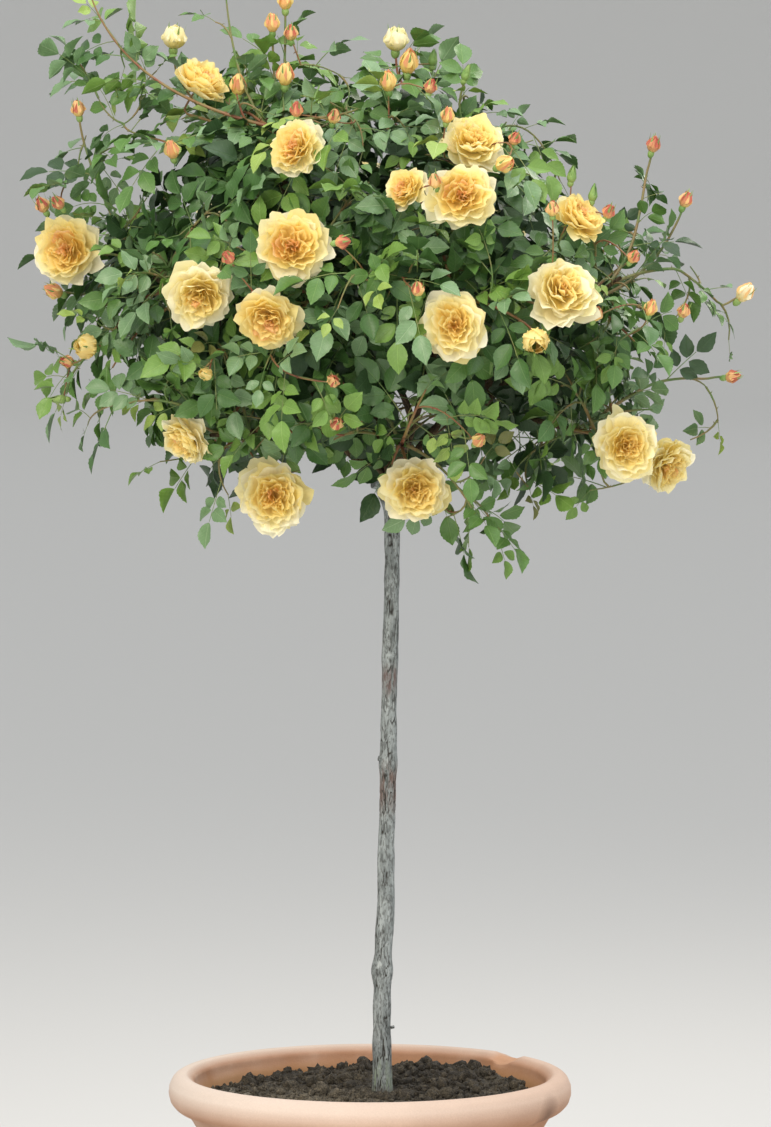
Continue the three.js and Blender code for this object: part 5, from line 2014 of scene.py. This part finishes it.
# Points that lie on one another, such as those at the ends of a lathe, become one.
def weld(piece):
    shape = bmesh.new()
    shape.from_mesh(piece.data)
    bmesh.ops.remove_doubles(shape, verts=shape.verts, dist=1e-6)
    bmesh.ops.recalc_face_normals(shape, faces=shape.faces)
    shape.to_mesh(piece.data)
    shape.free()


barkMaterial = oldBark(trunkBark)
caneMaterial = oldBark(caneBark)
greenMaterial = youngWood("shoot_green", "#56703a", "#7d6a42")
neckMaterial = youngWood("shoot_flushed", "#7a6a3c", "#7e4a36")
calyxMaterial = youngWood("calyx_green", "#6b8f48", "#8aa35c")
stalkMaterial = youngWood("leafstalk_green", "#5f8044", "#79804c")

potPiece = makePiece("pot_shell", potGather, terracotta(), ["pot"], hollow=True)
weld(potPiece)
cutHoles(potPiece)
compostMaterial = compost()
weld(makePiece("soil_bed", soilGather, compostMaterial, ["soil"]))
makePiece("soil_crumbs", crumbGather, compostMaterial, ["soil"])
makePiece("trunk_bark", trunkGather, barkMaterial, ["trunk"], hollow=True)
makePiece("boughs_bark", boughGather, caneMaterial, boughNodes, hollow=True)
for name, gather, material, slot in (("shoots_old", oldShoots, caneMaterial, "cane"),
                                     ("shoots_green", greenShoots, greenMaterial, "cane"),
                                     ("shoots_flushed", neckShoots, neckMaterial, "cane"),
                                     ("calyxes", calyxGather, calyxMaterial, "foliage"),
                                     ("leaf_stalks", leafStalks, stalkMaterial, "foliage")):
    makePiece(name, gather, material, foliageNodes)
makeLeafPieces()
makePetalPieces()


# Stage: a pale floor that sweeps up behind, and soft light.
studio = {
    "floor": "#cac9c6",
    # a wide round floor that sweeps up to a low wall far behind any camera
    "reach": 38.0,
    "sweep": 12.0,
    "wall": 14.0,
    "world": ("#e9ebed", 1.0),
    # lights: place, size, power, colour
    "lights": {
        "key": ((-2.6, -5.0, 4.8), 2.4, 225, "#fff4e4"),
        "fill": ((4.0, -4.6, 2.4), 3.2, 55, "#f6f7fa"),
        "front": ((-1.2, -6.6, 1.2), 3.0, 108, "#fbf9f4"),
        "top": ((0.4, -0.8, 5.2), 3.6, 120, "#fdfdff"),
        "rear": ((2.6, 2.8, 4.2), 2.2, 90, "#fff8ee"),
    },
    "aim": (0.02, 0.0, 1.55),
}


def makeStage():
    turns = np.linspace(0, math.pi / 2, 18)
    reach, sweep = studio["reach"], studio["sweep"]
    profile = [(0.0, 0.0), *[(r, 0.0) for r in (2, 6, 12, 20, 28)],
               *[(reach + sweep * math.sin(a), sweep - sweep * math.cos(a)) for a in turns],
               (reach + sweep, studio["wall"])]
    points, faces = lathe(profile, 64)
    points = points.reshape(-1, 3)
    mesh = bpy.data.meshes.new("floor")
    mesh.from_pydata(points.tolist(), [], [tuple(int(i) for i in face) for face in faces])
    mesh.polygons.foreach_set("use_smooth", np.ones(len(mesh.polygons), bool))
    material, _, surface = startMaterial("floor_paper", 0.9)
    surface.inputs["Base Color"].default_value = linear(studio["floor"])
    mesh.materials.append(material)
    floor = bpy.data.objects.new("floor", mesh)
    bpy.context.scene.collection.objects.link(floor)


def makeLights():
    for name, (place, size, power, color) in studio["lights"].items():
        light = bpy.data.lights.new(name, "AREA")
        light.size = size
        light.energy = power
        light.color = linear(color)[:3]
        lamp = bpy.data.objects.new(name, light)
        lamp.location = place
        away = np.array(place) - np.array(studio["aim"])
        flat = math.hypot(away[0], away[1])
        lamp.rotation_euler = (math.atan2(flat, away[2]), 0, math.atan2(away[0], -away[1]))
        bpy.context.scene.collection.objects.link(lamp)
    world = bpy.data.worlds.new("studio")
    world.use_nodes = True
    background = world.node_tree.nodes["Background"]
    background.inputs["Color"].default_value = linear(studio["world"][0])
    background.inputs["Strength"].default_value = studio["world"][1]
    bpy.context.scene.world = world


makeStage()
makeLights()
bpy.context.scene.view_settings.view_transform = "Standard"
print("stage and lights set")
